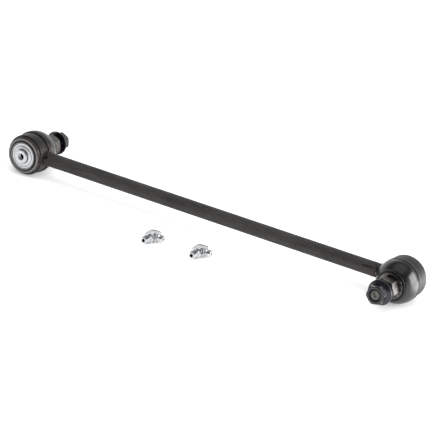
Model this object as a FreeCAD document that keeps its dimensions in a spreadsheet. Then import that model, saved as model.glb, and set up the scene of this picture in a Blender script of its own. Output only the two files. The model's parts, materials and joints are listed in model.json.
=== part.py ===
import FreeCAD, Part
import math
import os
import re

import Sketcher
from FreeCAD import Placement, Rotation, Vector

# Stabiliser bar link: a round bar between two ball joints whose studs point in opposite directions,
# with the two loose right-angle grease fittings that belong in the joints' cover plates.
#
# Frame: millimetres, +X along the bar towards the right joint, +Z up, origin at the bar's middle.
# Each joint is drawn round its own Z axis with the ball's centre at the origin and the stud along +Z,
# then laid over: the left stud points along +Y and the right stud along -Y.

doc = FreeCAD.newDocument("StabiliserLink")

# ---------------------------------------------------------------------------------------------------
# Driving dimensions. "reach" is a distance from the ball's centre towards the cover plate,
# "rise" is a distance from the ball's centre towards the stud's end.
# ---------------------------------------------------------------------------------------------------

SIZES = [
    # bar and welds
    ("centre_distance", 381.0),
    ("rod_dia", 12.7),
    ("bead_height", 0.65),
    ("bead_toe_height", 0.16),
    ("bead_length", 4.5),
    ("bead_root_inset", 12.3),
    ("crimp_inset", 29.5),
    ("crimp_length", 10.5),
    ("crimp_width", 1.6),
    ("crimp_depth", 1.1),
    ("crimp_turn", 61.0),
    ("dent_inset", 49.5),
    ("dent_length", 15.0),
    ("dent_width", 2.4),
    ("dent_depth", 0.35),
    ("dent_turn", 64.0),
    # housing
    ("body_dia", 36.8),
    ("flange_step", 0.75),
    ("nose_dia", 34.4),
    ("annulus_dia", 29.6),
    ("annulus_reach", 11.4),
    ("nose_edge_reach", 9.9),
    ("nose_softness", 0.67),
    ("nose_step_reach", 8.6),
    ("body_edge_reach", 8.0),
    ("groove_rise", 2.7),
    ("groove_width", 0.6),
    ("groove_depth", 0.7),
    ("seat_rise", 7.0),
    ("chamber_dia", 22.4),
    ("chamber_rise", 5.0),
    ("mouth_dia", 19.2),
    ("mouth_outer_dia", 20.8),
    ("lip_height", 0.5),
    ("lip_overlap", 0.45),
    ("lip_wall", 0.9),
    # cover plate
    ("plate_dia", 24.2),
    ("plate_thickness", 1.5),
    ("plate_inner_reach", 10.4),
    ("step_dia", 19.2),
    ("step_height", 0.35),
    ("boss_dia", 12.6),
    ("boss_height", 3.1),
    ("boss_foot_height", 0.9),
    ("boss_round", 0.8),
    ("port_dia", 5.8),
    ("fit_gap", 0.05),
    # ball, bearings and preload spring
    ("ball_dia", 19.0),
    ("ball_flat_reach", 8.6),
    ("ball_gap", 0.08),
    ("upper_bearing_rise", 4.5),
    ("bearing_split_rise", 0.3),
    ("lower_bearing_reach", 7.6),
    ("spring_inner_dia", 13.0),
    ("spring_clearance", 0.5),
    ("spring_thickness", 0.9),
    # stud
    ("neck_dia", 10.4),
    ("neck_rise", 14.5),
    ("boot_seat_dia", 15.0),
    ("boot_seat_rise", 18.0),
    ("stud_flange_dia", 22.8),
    ("stud_flange_rise", 21.5),
    ("stud_flange_thickness", 1.7),
    ("collar_width", 17.5),
    ("collar_height", 10.8),
    ("collar_chamfer", 0.9),
    ("grip_dia", 10.0),
    ("grip_length", 5.2),
    ("thread_pitch_dia", 9.03),
    ("thread_length", 9.3),
    ("thread_runout", 0.5),
    ("stud_chamfer", 0.4),
    ("left_collar_turn", 20.0),
    ("right_collar_turn", -10.0),
    # flange nut, M10
    ("nut_width", 15.0),
    ("nut_height", 10.0),
    ("nut_flange_dia", 21.8),
    ("nut_flange_rim", 1.3),
    ("nut_rim_chamfer", 0.3),
    ("nut_flange_cone", 1.9),
    ("nut_chamfer", 0.9),
    ("nut_sink_dia", 10.8),
    ("thread_gap", 0.06),
    ("left_nut_turn", 25.0),
    ("right_nut_turn", 11.0),
    # boot and its rings
    ("boot_gap", 0.3),
    ("boot_base_step", 0.3),
    ("boot_band_height", 0.7),
    ("boot_widest_step", 0.65),
    ("boot_shoulder_dia", 27.4),
    ("boot_top_rise", 21.2),
    ("boot_dome_radius", 20.0),
    ("boot_top_thickness", 2.0),
    ("boot_top_overhang", 0.6),
    ("neck_ring_dia", 26.0),
    ("neck_ring_wall", 1.0),
    ("neck_ring_height", 0.9),
    ("base_ring_dia", 33.6),
    ("base_ring_wall", 0.9),
    ("base_ring_height", 1.8),
    # loose grease fittings
    ("leg_length", 15.2),
    ("leg_chamfer", 0.5),
    ("thread_leg_dia", 5.76),
    ("thread_leg_length", 6.7),
    ("fitting_bore_dia", 2.9),
    ("elbow_hex_width", 9.5),
    ("elbow_hex_length", 6.5),
    ("elbow_hex_chamfer", 0.5),
    ("elbow_block_width", 8.6),
    ("elbow_block_run", 3.5),
    ("socket_margin", 0.12),
    ("nozzle_shank_dia", 4.4),
    ("nozzle_start", 2.2),
    ("nozzle_collar_dia", 6.8),
    ("nozzle_collar_width", 1.0),
    ("nozzle_collar_cone", 0.6),
    ("nozzle_neck_dia", 4.8),
    ("nozzle_neck_length", 0.5),
    ("nozzle_head_dia", 6.5),
    ("nozzle_head_cone", 0.6),
    ("nozzle_head_length", 1.3),
    ("nozzle_tip_dia", 4.2),
    ("nozzle_tip_length", 1.4),
    ("nozzle_bore_dia", 2.8),
    ("nozzle_mouth_dia", 1.7),
    ("nozzle_mouth_depth", 0.5),
    ("check_ball_dia", 2.3),
    ("check_wire", 0.3),
    ("check_coil_dia", 2.2),
    ("check_coil_turns", 4),
    ("fitting_a_x", -22.2),
    ("fitting_a_y", -49.6),
    ("fitting_a_turn", 0.0),
    ("fitting_b_x", 23.6),
    ("fitting_b_y", -46.4),
    ("fitting_b_turn", 2.5),
    # how far a cutting tool runs past what it cuts
    ("cut_margin", 1.0),
]

sheet = doc.addObject("Spreadsheet::Sheet", "Sizes")
for row, (alias, value) in enumerate(SIZES, start=1):
    sheet.set("A%d" % row, alias)
    sheet.set("B%d" % row, str(value))
    sheet.setAlias("B%d" % row, alias)
doc.recompute()

NAMES = {alias for alias, value in SIZES}
parts = []


def bound(text):
    """Turn 'rod_dia / 2' into an expression on the sheet's cells."""
    return re.sub(r"[a-z_]\w*", lambda word: "Sizes." + word[0] if word[0] in NAMES else word[0], text)


def size(text):
    """The value, in millimetres or degrees, that an expression on the sheet has now."""
    return float(sheet.evalExpression(bound(text)))


def finish(node, label):
    """Name a finished sub-part and put it on the list of those to write."""
    node.Label = label
    parts.append(node)
    return node


def new_body(name):
    return doc.addObject("PartDesign::Body", name)


def plane(body, role):
    return next(item for item in body.Origin.OriginFeatures if item.Role == role)


def new_sketch(body, name, role="XZ_Plane", offset="0", turn="0"):
    """A sketch on one of its body's own planes, raised by offset and turned about the plane's normal."""
    sketch = body.newObject("Sketcher::SketchObject", name)
    sketch.AttachmentSupport = [(plane(body, role), "")]
    sketch.MapMode = "FlatFace"
    sketch.AttachmentOffset = Placement(Vector(0, 0, 0), Rotation(Vector(0, 0, 1), size(turn)))
    sketch.setExpression("AttachmentOffset.Base.z", bound(offset))
    if turn != "0":
        sketch.setExpression("AttachmentOffset.Rotation.Angle", bound(turn))
    return sketch


def pin(sketch, edge, end, x, y):
    """Hold one end of an edge at (x, y), given as expressions; a plain 0 puts it on the axis."""
    for axis_edge, kind, text in ((-2, "DistanceX", x), (-1, "DistanceY", y)):
        if text == "0":
            sketch.addConstraint(Sketcher.Constraint("PointOnObject", edge, end, axis_edge))
        else:
            index = sketch.addConstraint(Sketcher.Constraint(kind, -1, 1, edge, end, size(text)))
            name = "%s_%d" % (kind[-1].lower(), edge)
            sketch.renameConstraint(index, name)
            sketch.setExpression("Constraints." + name, bound(text))


def arc_between(start, end, radius, side):
    """The short arc from start to end; side is 1 when its centre lies to the left, -1 to the right."""
    chord = end - start
    middle = (start + end) * 0.5
    left = Vector(-chord.y, chord.x, 0).normalize()
    rise = math.sqrt(max(radius ** 2 - chord.Length ** 2 / 4, 0))
    centre = middle + left * (rise * side)
    from_centre = (start - centre, end - centre)
    angles = [math.atan2(ray.y, ray.x) for ray in from_centre]
    if side < 0:
        angles.reverse()
    return Part.ArcOfCircle(Part.Circle(centre, Vector(0, 0, 1), radius), angles[0], angles[1])


def outline(sketch, corners):
    """Draw a closed outline through the corners. A corner is (x, y), reached by a straight edge to the
    next one, or (x, y, radius, side), followed by an arc to the next one."""
    points = [Vector(size(corner[0]), size(corner[1]), 0) for corner in corners]
    starts = []
    for index, corner in enumerate(corners):
        start = points[index]
        end = points[(index + 1) % len(points)]
        if len(corner) == 2:
            sketch.addGeometry(Part.LineSegment(start, end), False)
            starts.append((1, 2))
        else:
            sketch.addGeometry(arc_between(start, end, size(corner[2]), corner[3]), False)
            starts.append((1, 2) if corner[3] > 0 else (2, 1))
    for index in range(len(corners)):
        following = (index + 1) % len(corners)
        sketch.addConstraint(Sketcher.Constraint(
            "Coincident", index, starts[index][1], following, starts[following][0]))
    for index, corner in enumerate(corners):
        pin(sketch, index, starts[index][0], corner[0], corner[1])
        if len(corner) == 4:
            name = "radius_%d" % index
            sketch.renameConstraint(
                sketch.addConstraint(Sketcher.Constraint("Radius", index, size(corner[2]))), name)
            sketch.setExpression("Constraints." + name, bound(corner[2]))


def turned(body, name, corners, cut=False):
    """Turn an outline of (radius, height) corners round the body's Z axis, adding or cutting."""
    sketch = new_sketch(body, name + "_outline")
    outline(sketch, corners)
    kind = "PartDesign::Groove" if cut else "PartDesign::Revolution"
    feature = body.newObject(kind, name)
    feature.Profile = sketch
    feature.ReferenceAxis = (sketch, ["V_Axis"])
    feature.Angle = 360
    return feature


def disc(sketch, diameter, x="0", y="0"):
    """A circle with its diameter and centre bound to the sheet."""
    circle = Part.Circle(Vector(size(x), size(y), 0), Vector(0, 0, 1), size(diameter) / 2)
    sketch.addGeometry(circle, False)
    pin(sketch, 0, 3, x, y)
    index = sketch.addConstraint(Sketcher.Constraint("Diameter", 0, size(diameter)))
    sketch.renameConstraint(index, "diameter")
    sketch.setExpression("Constraints.diameter", bound(diameter))


def hexagon(sketch, width):
    """A hexagon about the sketch's origin, with one corner on its X axis and its width across flats."""
    radius = size(width) / math.sqrt(3)
    corners = [Vector(radius * math.cos(math.radians(60 * step)),
                      radius * math.sin(math.radians(60 * step)), 0) for step in range(6)]
    for step in range(6):
        sketch.addGeometry(Part.LineSegment(corners[step], corners[(step + 1) % 6]), False)
    for step in range(6):
        sketch.addConstraint(Sketcher.Constraint("Coincident", step, 2, (step + 1) % 6, 1))
    circle = sketch.addGeometry(Part.Circle(Vector(0, 0, 0), Vector(0, 0, 1), radius), True)
    sketch.addConstraint(Sketcher.Constraint("Coincident", circle, 3, -1, 1))
    for step in range(6):
        sketch.addConstraint(Sketcher.Constraint("PointOnObject", step, 1, circle))
    for step in range(5):
        sketch.addConstraint(Sketcher.Constraint("Equal", step, step + 1))
    sketch.addConstraint(Sketcher.Constraint("PointOnObject", 0, 1, -1))
    index = sketch.addConstraint(Sketcher.Constraint("Diameter", circle, 2 * radius))
    sketch.renameConstraint(index, "corner_circle")
    sketch.setExpression("Constraints.corner_circle", bound("2 * %s / sqrt(3)" % width))


def pad(body, name, sketch, length):
    feature = body.newObject("PartDesign::Pad", name)
    feature.Profile = sketch
    feature.setExpression("Length", bound(length))
    return feature


def pocket(body, name, sketch, length):
    """Cut along the sketch's own normal."""
    feature = body.newObject("PartDesign::Pocket", name)
    feature.Profile = sketch
    feature.Reversed = True
    feature.setExpression("Length", bound(length))
    return feature


def rounded(body, name, radius, rings):
    """Round the circular edges of the body that lie at the given (radius, height) places."""
    doc.recompute()
    base = body.Tip
    places = [(size(ring[0]), size(ring[1])) for ring in rings]
    found = []
    for number, edge in enumerate(base.Shape.Edges, start=1):
        if not isinstance(edge.Curve, Part.Circle):
            continue
        here = (edge.Curve.Radius, edge.Curve.Center.z)
        if any(math.dist(here, place) < 0.01 for place in places):
            found.append("Edge%d" % number)
    fillet = body.newObject("PartDesign::Fillet", name)
    fillet.Base = (base, found)
    fillet.setExpression("Radius", bound(radius))
    return fillet


# ---------------------------------------------------------------------------------------------------
# Places that several pieces share, as expressions
# ---------------------------------------------------------------------------------------------------

PLATE_FACE = "plate_inner_reach + plate_thickness"
FLANGE_FACE = "stud_flange_rise + stud_flange_thickness"
COLLAR_FACE = FLANGE_FACE + " + collar_height"
NUT_FACE = COLLAR_FACE + " + grip_length"
FLANGE_RADIUS = "body_dia / 2 + flange_step"
SOCKET_FACE = "elbow_hex_width / sqrt(3) + socket_margin"
NECK_START = SOCKET_FACE + " + nozzle_collar_width + nozzle_collar_cone"
HEAD_START = NECK_START + " + nozzle_neck_length + nozzle_head_cone"
NOZZLE_END = HEAD_START + " + nozzle_head_length + nozzle_tip_length"
BALL_CENTRE = NOZZLE_END + " - nozzle_mouth_depth - sqrt(check_ball_dia^2 - nozzle_mouth_dia^2) / 2 - fit_gap"

SIDES = {"left": -1, "right": 1}


def lay_over(node, side):
    """Lay a piece drawn round the Z axis over into its joint at one end of the bar."""
    node.Placement = Placement(Vector(0, 0, 0), Rotation(Vector(1, 0, 0), 90 * SIDES[side]))
    node.setExpression("Placement.Base.x", bound("centre_distance / 2 * %d" % SIDES[side]))


# ---------------------------------------------------------------------------------------------------
# Bar and welds
# ---------------------------------------------------------------------------------------------------

def cylinder(label, radius, height):
    node = doc.addObject("Part::Cylinder", label)
    node.setExpression("Radius", bound(radius))
    node.setExpression("Height", bound(height))
    return node


def housing_envelope(side):
    """The housing's outside, as two plain cylinders that the bar and its weld are coped against."""
    tools = []
    for name, radius, start in (("body", "body_dia / 2", "-body_edge_reach"),
                                ("flange", FLANGE_RADIUS, "groove_rise + groove_width")):
        tool = cylinder("%s_%s_envelope" % (side, name), radius, "seat_rise - (%s)" % start)
        tool.Placement = Placement(Vector(0, 0, 0), Rotation(Vector(1, 0, 0), 90 * SIDES[side]))
        tool.setExpression("Placement.Base.x", bound("centre_distance / 2 * %d" % SIDES[side]))
        tool.setExpression("Placement.Base.y", bound("(%s) * %d" % (start, -SIDES[side])))
        tools.append(tool)
    envelope = doc.addObject("Part::MultiFuse", side + "_envelope")
    envelope.Shapes = tools
    return envelope


def surface_slot(name, side):
    """A slot pressed into the bar near one joint, turned from the top towards -Y."""
    slot = doc.addObject("Part::Box", name)
    slot.setExpression("Length", bound(name + "_length"))
    slot.setExpression("Width", bound(name + "_width"))
    slot.setExpression("Height", bound("rod_dia"))
    turn = Rotation(Vector(1, 0, 0), size(name + "_turn"))
    corner = Vector(0, -size(name + "_width") / 2, size("rod_dia / 2 - %s_depth" % name))
    slot.Placement = Placement(turn.multVec(corner), turn)
    start = "(centre_distance / 2 - %s_inset) * %d - %s_length / 2" % (name, SIDES[side], name)
    slot.setExpression("Placement.Base.x", bound(start))
    return slot


def build_bar():
    envelopes = {side: housing_envelope(side) for side in SIDES}
    stock = cylinder("rod_stock", "rod_dia / 2", "centre_distance")
    stock.Placement = Placement(Vector(0, 0, 0), Rotation(Vector(0, 1, 0), 90))
    stock.setExpression("Placement.Base.x", bound("-centre_distance / 2"))
    slots = [
        surface_slot("crimp", "right"),
        surface_slot("dent", "left"),
    ]
    tools = doc.addObject("Part::MultiFuse", "rod_cuts")
    tools.Shapes = list(envelopes.values()) + slots
    rod = doc.addObject("Part::Cut", "link_rod")
    rod.Base = stock
    rod.Tool = tools
    finish(rod, "link_rod")

    for side, sign in SIDES.items():
        ring = doc.addObject("Part::Cone", side + "_bead_stock")
        ring.setExpression("Radius1", bound("rod_dia / 2 + bead_height"))
        ring.setExpression("Radius2", bound("rod_dia / 2 + bead_toe_height"))
        ring.setExpression("Height", bound("body_dia / 2 - bead_root_inset + bead_length"))
        ring.Placement = Placement(Vector(0, 0, 0), Rotation(Vector(0, 1, 0), -90 * sign))
        ring.setExpression("Placement.Base.x", bound("(centre_distance / 2 - bead_root_inset) * %d" % sign))
        keep_out = doc.addObject("Part::MultiFuse", side + "_bead_cuts")
        keep_out.Shapes = [stock, envelopes[side]]
        bead = doc.addObject("Part::Cut", side + "_weld_bead")
        bead.Base = ring
        bead.Tool = keep_out
        finish(bead, side + "_weld_bead")


# ---------------------------------------------------------------------------------------------------
# Ball joints
# ---------------------------------------------------------------------------------------------------

def build_housing(side):
    """One turned shell: staked lip and nose at the cover end, body, groove, and the boot's flange."""
    body = new_body(side + "_housing")
    lip_inner = "plate_dia / 2 - lip_overlap"
    nose_round = "(nose_dia / 2 - annulus_dia / 2 + annulus_reach - nose_edge_reach) * nose_softness"
    turned(body, "shell", [
        (lip_inner, "-(%s)" % PLATE_FACE),
        (lip_inner, "-(%s + lip_height)" % PLATE_FACE),
        (lip_inner + " + lip_wall", "-(%s + lip_height)" % PLATE_FACE),
        (lip_inner + " + lip_wall", "-annulus_reach"),
        ("annulus_dia / 2", "-annulus_reach", nose_round, 1),
        ("nose_dia / 2", "-nose_edge_reach"),
        ("nose_dia / 2", "-nose_step_reach"),
        ("body_dia / 2", "-body_edge_reach"),
        ("body_dia / 2", "groove_rise"),
        ("body_dia / 2 - groove_depth", "groove_rise"),
        ("body_dia / 2 - groove_depth", "groove_rise + groove_width"),
        (FLANGE_RADIUS, "groove_rise + groove_width"),
        (FLANGE_RADIUS, "seat_rise"),
        ("mouth_outer_dia / 2", "seat_rise"),
        ("mouth_dia / 2", "chamber_rise"),
        ("chamber_dia / 2", "chamber_rise"),
        ("chamber_dia / 2", "-plate_inner_reach"),
        ("plate_dia / 2 + fit_gap", "-plate_inner_reach"),
        ("plate_dia / 2 + fit_gap", "-(%s)" % PLATE_FACE),
    ])
    lay_over(body, side)
    finish(body, side + "_housing")


def build_cover_plate(side):
    """A pressed disc with a step, and a raised boss that carries the threaded grease port."""
    body = new_body(side + "_cover_plate")
    boss_face = PLATE_FACE + " + boss_height"
    turned(body, "disc", [
        ("port_dia / 2", "-plate_inner_reach"),
        ("port_dia / 2", "-(%s)" % boss_face),
        ("boss_dia / 2", "-(%s)" % boss_face),
        ("boss_dia / 2", "-(%s + boss_foot_height)" % PLATE_FACE),
        ("step_dia / 2 - step_height", "-(%s + step_height)" % PLATE_FACE),
        ("step_dia / 2", "-(%s)" % PLATE_FACE),
        ("plate_dia / 2", "-(%s)" % PLATE_FACE),
        ("plate_dia / 2", "-plate_inner_reach"),
    ])
    rounded(body, "boss_edge", "boss_round", [("boss_dia / 2", "-(%s)" % boss_face)])
    lay_over(body, side)
    finish(body, side + "_cover_plate")


def build_bearings(side):
    """Two plastic rings with a spherical seat, one on each side of the ball's widest circle."""
    seat = "(ball_dia / 2 + ball_gap)"
    outer = "chamber_dia / 2 - fit_gap"
    split = "bearing_split_rise"
    upper = new_body(side + "_upper_bearing")
    turned(upper, "ring", [
        ("sqrt(%s^2 - %s^2)" % (seat, split), split),
        (outer, split),
        (outer, "chamber_rise"),
        ("mouth_dia / 2", "chamber_rise"),
        ("sqrt(%s^2 - upper_bearing_rise^2)" % seat, "upper_bearing_rise", seat, -1),
    ])
    lay_over(upper, side)
    finish(upper, side + "_upper_bearing")

    lower = new_body(side + "_lower_bearing")
    turned(lower, "cup", [
        ("sqrt(%s^2 - lower_bearing_reach^2)" % seat, "-lower_bearing_reach", seat, 1),
        ("sqrt(%s^2 - %s^2)" % (seat, split), "-" + split),
        (outer, "-" + split),
        (outer, "-lower_bearing_reach"),
    ])
    lay_over(lower, side)
    finish(lower, side + "_lower_bearing")


def build_preload_spring(side):
    """A coned disc spring that presses the lower bearing towards the ball."""
    body = new_body(side + "_preload_spring")
    turned(body, "cone", [
        ("spring_inner_dia / 2", "-(lower_bearing_reach + fit_gap)"),
        ("spring_inner_dia / 2", "-(lower_bearing_reach + fit_gap + spring_thickness)"),
        ("chamber_dia / 2 - spring_clearance", "-(plate_inner_reach - fit_gap)"),
        ("chamber_dia / 2 - spring_clearance", "-(plate_inner_reach - fit_gap - spring_thickness)"),
    ])
    lay_over(body, side)
    finish(body, side + "_preload_spring")


def build_base_ring(side):
    """The ring that clamps the boot's base to the housing's flange."""
    body = new_body(side + "_boot_base_ring")
    turned(body, "ring", [
        ("base_ring_dia / 2 - base_ring_wall", "seat_rise"),
        ("base_ring_dia / 2", "seat_rise"),
        ("base_ring_dia / 2", "seat_rise + base_ring_height"),
        ("base_ring_dia / 2 - base_ring_wall", "seat_rise + base_ring_height"),
    ])
    lay_over(body, side)
    finish(body, side + "_boot_base_ring")


def build_boot(side):
    """A rubber dome over a coned hollow; its collar ends in a groove for the neck ring."""
    body = new_body(side + "_dust_boot")
    base = "seat_rise + boot_gap"
    ring_seat = "neck_ring_dia / 2 - neck_ring_wall - boot_gap"
    shoulder = "boot_top_rise - neck_ring_height - boot_gap"
    cavity = "base_ring_dia / 2 + boot_gap"
    underside = "boot_top_rise - boot_top_thickness"
    turned(body, "dome", [
        (cavity, base),
        ("body_dia / 2 + boot_base_step", base),
        ("body_dia / 2 + boot_widest_step", base + " + boot_band_height", "boot_dome_radius", 1),
        ("boot_shoulder_dia / 2", shoulder),
        (ring_seat, shoulder),
        (ring_seat, "boot_top_rise"),
        ("boot_seat_dia / 2 + boot_gap", "boot_top_rise"),
        ("boot_seat_dia / 2 + boot_gap", underside),
        (ring_seat + " - boot_top_overhang", underside),
        (cavity, "seat_rise + base_ring_height + boot_gap"),
    ])
    lay_over(body, side)
    finish(body, side + "_dust_boot")


def build_neck_ring(side):
    """The ring that holds the boot's collar on the stud."""
    body = new_body(side + "_boot_neck_ring")
    turned(body, "ring", [
        ("neck_ring_dia / 2 - neck_ring_wall", "boot_top_rise - neck_ring_height"),
        ("neck_ring_dia / 2", "boot_top_rise - neck_ring_height"),
        ("neck_ring_dia / 2", "boot_top_rise"),
        ("neck_ring_dia / 2 - neck_ring_wall", "boot_top_rise"),
    ])
    lay_over(body, side)
    finish(body, side + "_boot_neck_ring")


def corner_cut(body, name, width, face, depth, up):
    """Take the corners off one end of a hexagon with a 30 degree cone. up is 1 at its upper end."""
    corner = "(%s) / sqrt(3)" % width
    turned(body, name, [
        (corner + " + cut_margin", "%s - (%s) * %d" % (face, depth, up)),
        (corner, "%s - (%s) * %d" % (face, depth, up)),
        ("%s - (%s) * sqrt(3)" % (corner, depth), face),
        (corner + " + cut_margin", face),
    ], cut=True)


def build_ball_stud(side):
    """Ball, neck, boot seat, round flange, hexagon collar, plain grip and threaded end in one forging."""
    body = new_body(side + "_ball_stud")
    collar = new_sketch(body, "collar_hexagon", "XY_Plane", FLANGE_FACE, "%s_collar_turn" % side)
    hexagon(collar, "collar_width")
    pad(body, "collar", collar, "collar_height")
    corner_cut(body, "collar_corners", "collar_width", COLLAR_FACE, "collar_chamfer", 1)
    flat = "sqrt(ball_dia^2 / 4 - ball_flat_reach^2)"
    meeting = "sqrt(ball_dia^2 / 4 - neck_dia^2 / 4)"
    thread_end = NUT_FACE + " + thread_length"
    turned(body, "spindle", [
        ("0", "-ball_flat_reach"),
        (flat, "-ball_flat_reach", "ball_dia / 2", 1),
        ("neck_dia / 2", meeting),
        ("neck_dia / 2", "neck_rise"),
        ("boot_seat_dia / 2", "boot_seat_rise"),
        ("boot_seat_dia / 2", "stud_flange_rise"),
        ("stud_flange_dia / 2", "stud_flange_rise"),
        ("stud_flange_dia / 2", FLANGE_FACE),
        ("grip_dia / 2", FLANGE_FACE),
        ("grip_dia / 2", NUT_FACE + " - thread_runout"),
        ("thread_pitch_dia / 2", NUT_FACE),
        ("thread_pitch_dia / 2", thread_end + " - stud_chamfer"),
        ("thread_pitch_dia / 2 - stud_chamfer", thread_end),
        ("0", thread_end),
    ])
    lay_over(body, side)
    finish(body, side + "_ball_stud")


def build_flange_nut(side):
    """An M10 hexagon nut on a coned flange, countersunk at both ends of its thread."""
    body = new_body(side + "_flange_nut")
    rim_top = NUT_FACE + " + nut_flange_rim"
    nut_top = NUT_FACE + " + nut_height"
    hexagon_sketch = new_sketch(body, "nut_hexagon", "XY_Plane", rim_top, "%s_nut_turn" % side)
    hexagon(hexagon_sketch, "nut_width")
    pad(body, "hexagon", hexagon_sketch, "nut_height - nut_flange_rim")
    corner_cut(body, "nut_corners", "nut_width", nut_top, "nut_chamfer", 1)
    turned(body, "flange", [
        ("0", NUT_FACE),
        ("nut_flange_dia / 2 - nut_rim_chamfer", NUT_FACE),
        ("nut_flange_dia / 2", NUT_FACE + " + nut_rim_chamfer"),
        ("nut_flange_dia / 2", rim_top),
        ("nut_width / 2", rim_top + " + nut_flange_cone"),
        ("0", rim_top + " + nut_flange_cone"),
    ])
    bore = "thread_pitch_dia / 2 + thread_gap"
    sink = "nut_sink_dia / 2"
    turned(body, "threaded_bore", [
        ("0", NUT_FACE),
        (sink, NUT_FACE),
        (bore, "%s + %s - (%s)" % (NUT_FACE, sink, bore)),
        (bore, "%s - (%s) + %s" % (nut_top, sink, bore)),
        (sink, nut_top),
        ("0", nut_top),
    ], cut=True)
    lay_over(body, side)
    finish(body, side + "_flange_nut")


# ---------------------------------------------------------------------------------------------------
# Loose grease fittings: drawn with the thread along +Z and the nozzle along +X from the elbow's centre
# ---------------------------------------------------------------------------------------------------

def lay_fitting(node, which, on_nozzle=False):
    """Lay a fitting on the surface that the housings rest on, thread towards -Y and nozzle towards +X."""
    turn = Rotation(Vector(0, 0, 1), size("fitting_%s_turn" % which)) * Rotation(Vector(1, 0, 0), 90)
    if on_nozzle:
        turn = turn * Rotation(Vector(0, 1, 0), 90)
    node.Placement = Placement(Vector(0, 0, 0), turn)
    node.setExpression("Placement.Base.x", bound("fitting_%s_x" % which))
    node.setExpression("Placement.Base.y", bound("fitting_%s_y" % which))
    node.setExpression("Placement.Base.z", bound("elbow_hex_width / 2 - (%s)" % FLANGE_RADIUS))


def build_elbow(which):
    """Threaded leg, wrench hexagon and flat-sided block with a rounded back, bored to the nozzle's seat."""
    label = "fitting_%s_elbow" % which
    body = new_body(label)
    hex_start = "leg_length - thread_leg_length - elbow_hex_length"
    hex_end = "leg_length - thread_leg_length"
    wrench = new_sketch(body, "wrench_hexagon", "XY_Plane", hex_start)
    hexagon(wrench, "elbow_hex_width")
    pad(body, "wrench_section", wrench, "elbow_hex_length")
    corner_cut(body, "outer_corners", "elbow_hex_width", hex_end, "elbow_hex_chamfer", 1)
    corner_cut(body, "inner_corners", "elbow_hex_width", hex_start, "elbow_hex_chamfer", -1)
    back = "elbow_block_width / 2"
    block = new_sketch(body, "block_outline")
    outline(block, [
        ("-" + back, "elbow_block_run"),
        ("-" + back, "0", back, 1),
        ("0", "-" + back),
        (SOCKET_FACE, "-" + back),
        (SOCKET_FACE, "elbow_block_run"),
    ])
    pad(body, "block", block, "elbow_block_width").Midplane = True
    turned(body, "leg", [
        ("0", hex_start),
        ("thread_leg_dia / 2", hex_start),
        ("thread_leg_dia / 2", "leg_length - leg_chamfer"),
        ("thread_leg_dia / 2 - leg_chamfer", "leg_length"),
        ("0", "leg_length"),
    ])
    drilling = new_sketch(body, "bore_circle", "XY_Plane")
    disc(drilling, "fitting_bore_dia")
    pocket(body, "bore", drilling, "leg_length + cut_margin")
    seat = new_sketch(body, "seat_circle", "YZ_Plane", "nozzle_start")
    disc(seat, "nozzle_shank_dia + 2 * fit_gap")
    pocket(body, "nozzle_seat", seat, SOCKET_FACE)
    channel = new_sketch(body, "channel_circle", "YZ_Plane")
    disc(channel, "nozzle_bore_dia")
    pocket(body, "channel", channel, SOCKET_FACE)
    lay_fitting(body, which)
    finish(body, label)


def build_nozzle(which):
    """The pressed-in nozzle with its coupler head, drawn round Z with the mouth at the top."""
    label = "fitting_%s_nozzle" % which
    body = new_body(label)
    mouth_foot = NOZZLE_END + " - nozzle_mouth_depth"
    seat_depth = "(nozzle_bore_dia - nozzle_mouth_dia) / 2"
    turned(body, "nipple", [
        ("nozzle_bore_dia / 2", "nozzle_start"),
        ("nozzle_shank_dia / 2", "nozzle_start"),
        ("nozzle_shank_dia / 2", SOCKET_FACE),
        ("nozzle_collar_dia / 2", SOCKET_FACE),
        ("nozzle_collar_dia / 2", SOCKET_FACE + " + nozzle_collar_width"),
        ("nozzle_neck_dia / 2", NECK_START),
        ("nozzle_neck_dia / 2", NECK_START + " + nozzle_neck_length"),
        ("nozzle_head_dia / 2", HEAD_START),
        ("nozzle_head_dia / 2", HEAD_START + " + nozzle_head_length"),
        ("nozzle_tip_dia / 2", NOZZLE_END),
        ("nozzle_mouth_dia / 2", NOZZLE_END),
        ("nozzle_mouth_dia / 2", mouth_foot),
        ("nozzle_bore_dia / 2", mouth_foot + " - " + seat_depth),
    ])
    lay_fitting(body, which, on_nozzle=True)
    finish(body, label)


def build_check_valve(which):
    """The ball that closes the nozzle's mouth, and the coil spring that seats it."""
    ball = doc.addObject("Part::Sphere", "fitting_%s_check_ball" % which)
    ball.setExpression("Radius", bound("check_ball_dia / 2"))
    lay_fitting(ball, which)
    lean = math.radians(size("fitting_%s_turn" % which))
    for axis, share in (("x", math.cos(lean)), ("y", math.sin(lean))):
        place = "fitting_%s_%s + (%s) * %.6f" % (which, axis, BALL_CENTRE, share)
        ball.setExpression("Placement.Base." + axis, bound(place))
    finish(ball, "fitting_%s_check_ball" % which)

    spring = new_body("fitting_%s_check_spring" % which)
    wire = new_sketch(spring, "wire_section")
    inner = "(check_coil_dia - check_wire) / 2"
    outer = "(check_coil_dia + check_wire) / 2"
    foot = "nozzle_start + fit_gap"
    outline(wire, [
        (inner, foot),
        (outer, foot),
        (outer, foot + " + check_wire"),
        (inner, foot + " + check_wire"),
    ])
    coil = spring.newObject("PartDesign::AdditiveHelix", "coil")
    coil.Profile = wire
    coil.ReferenceAxis = (wire, ["V_Axis"])
    coil.Mode = "height-turns-angle"
    coil.setExpression("Turns", bound("check_coil_turns"))
    rise = "%s - check_ball_dia / 2 - check_wire - fit_gap - (%s)" % (BALL_CENTRE, foot)
    coil.setExpression("Height", bound(rise))
    lay_fitting(spring, which, on_nozzle=True)
    finish(spring, "fitting_%s_check_spring" % which)


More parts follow.
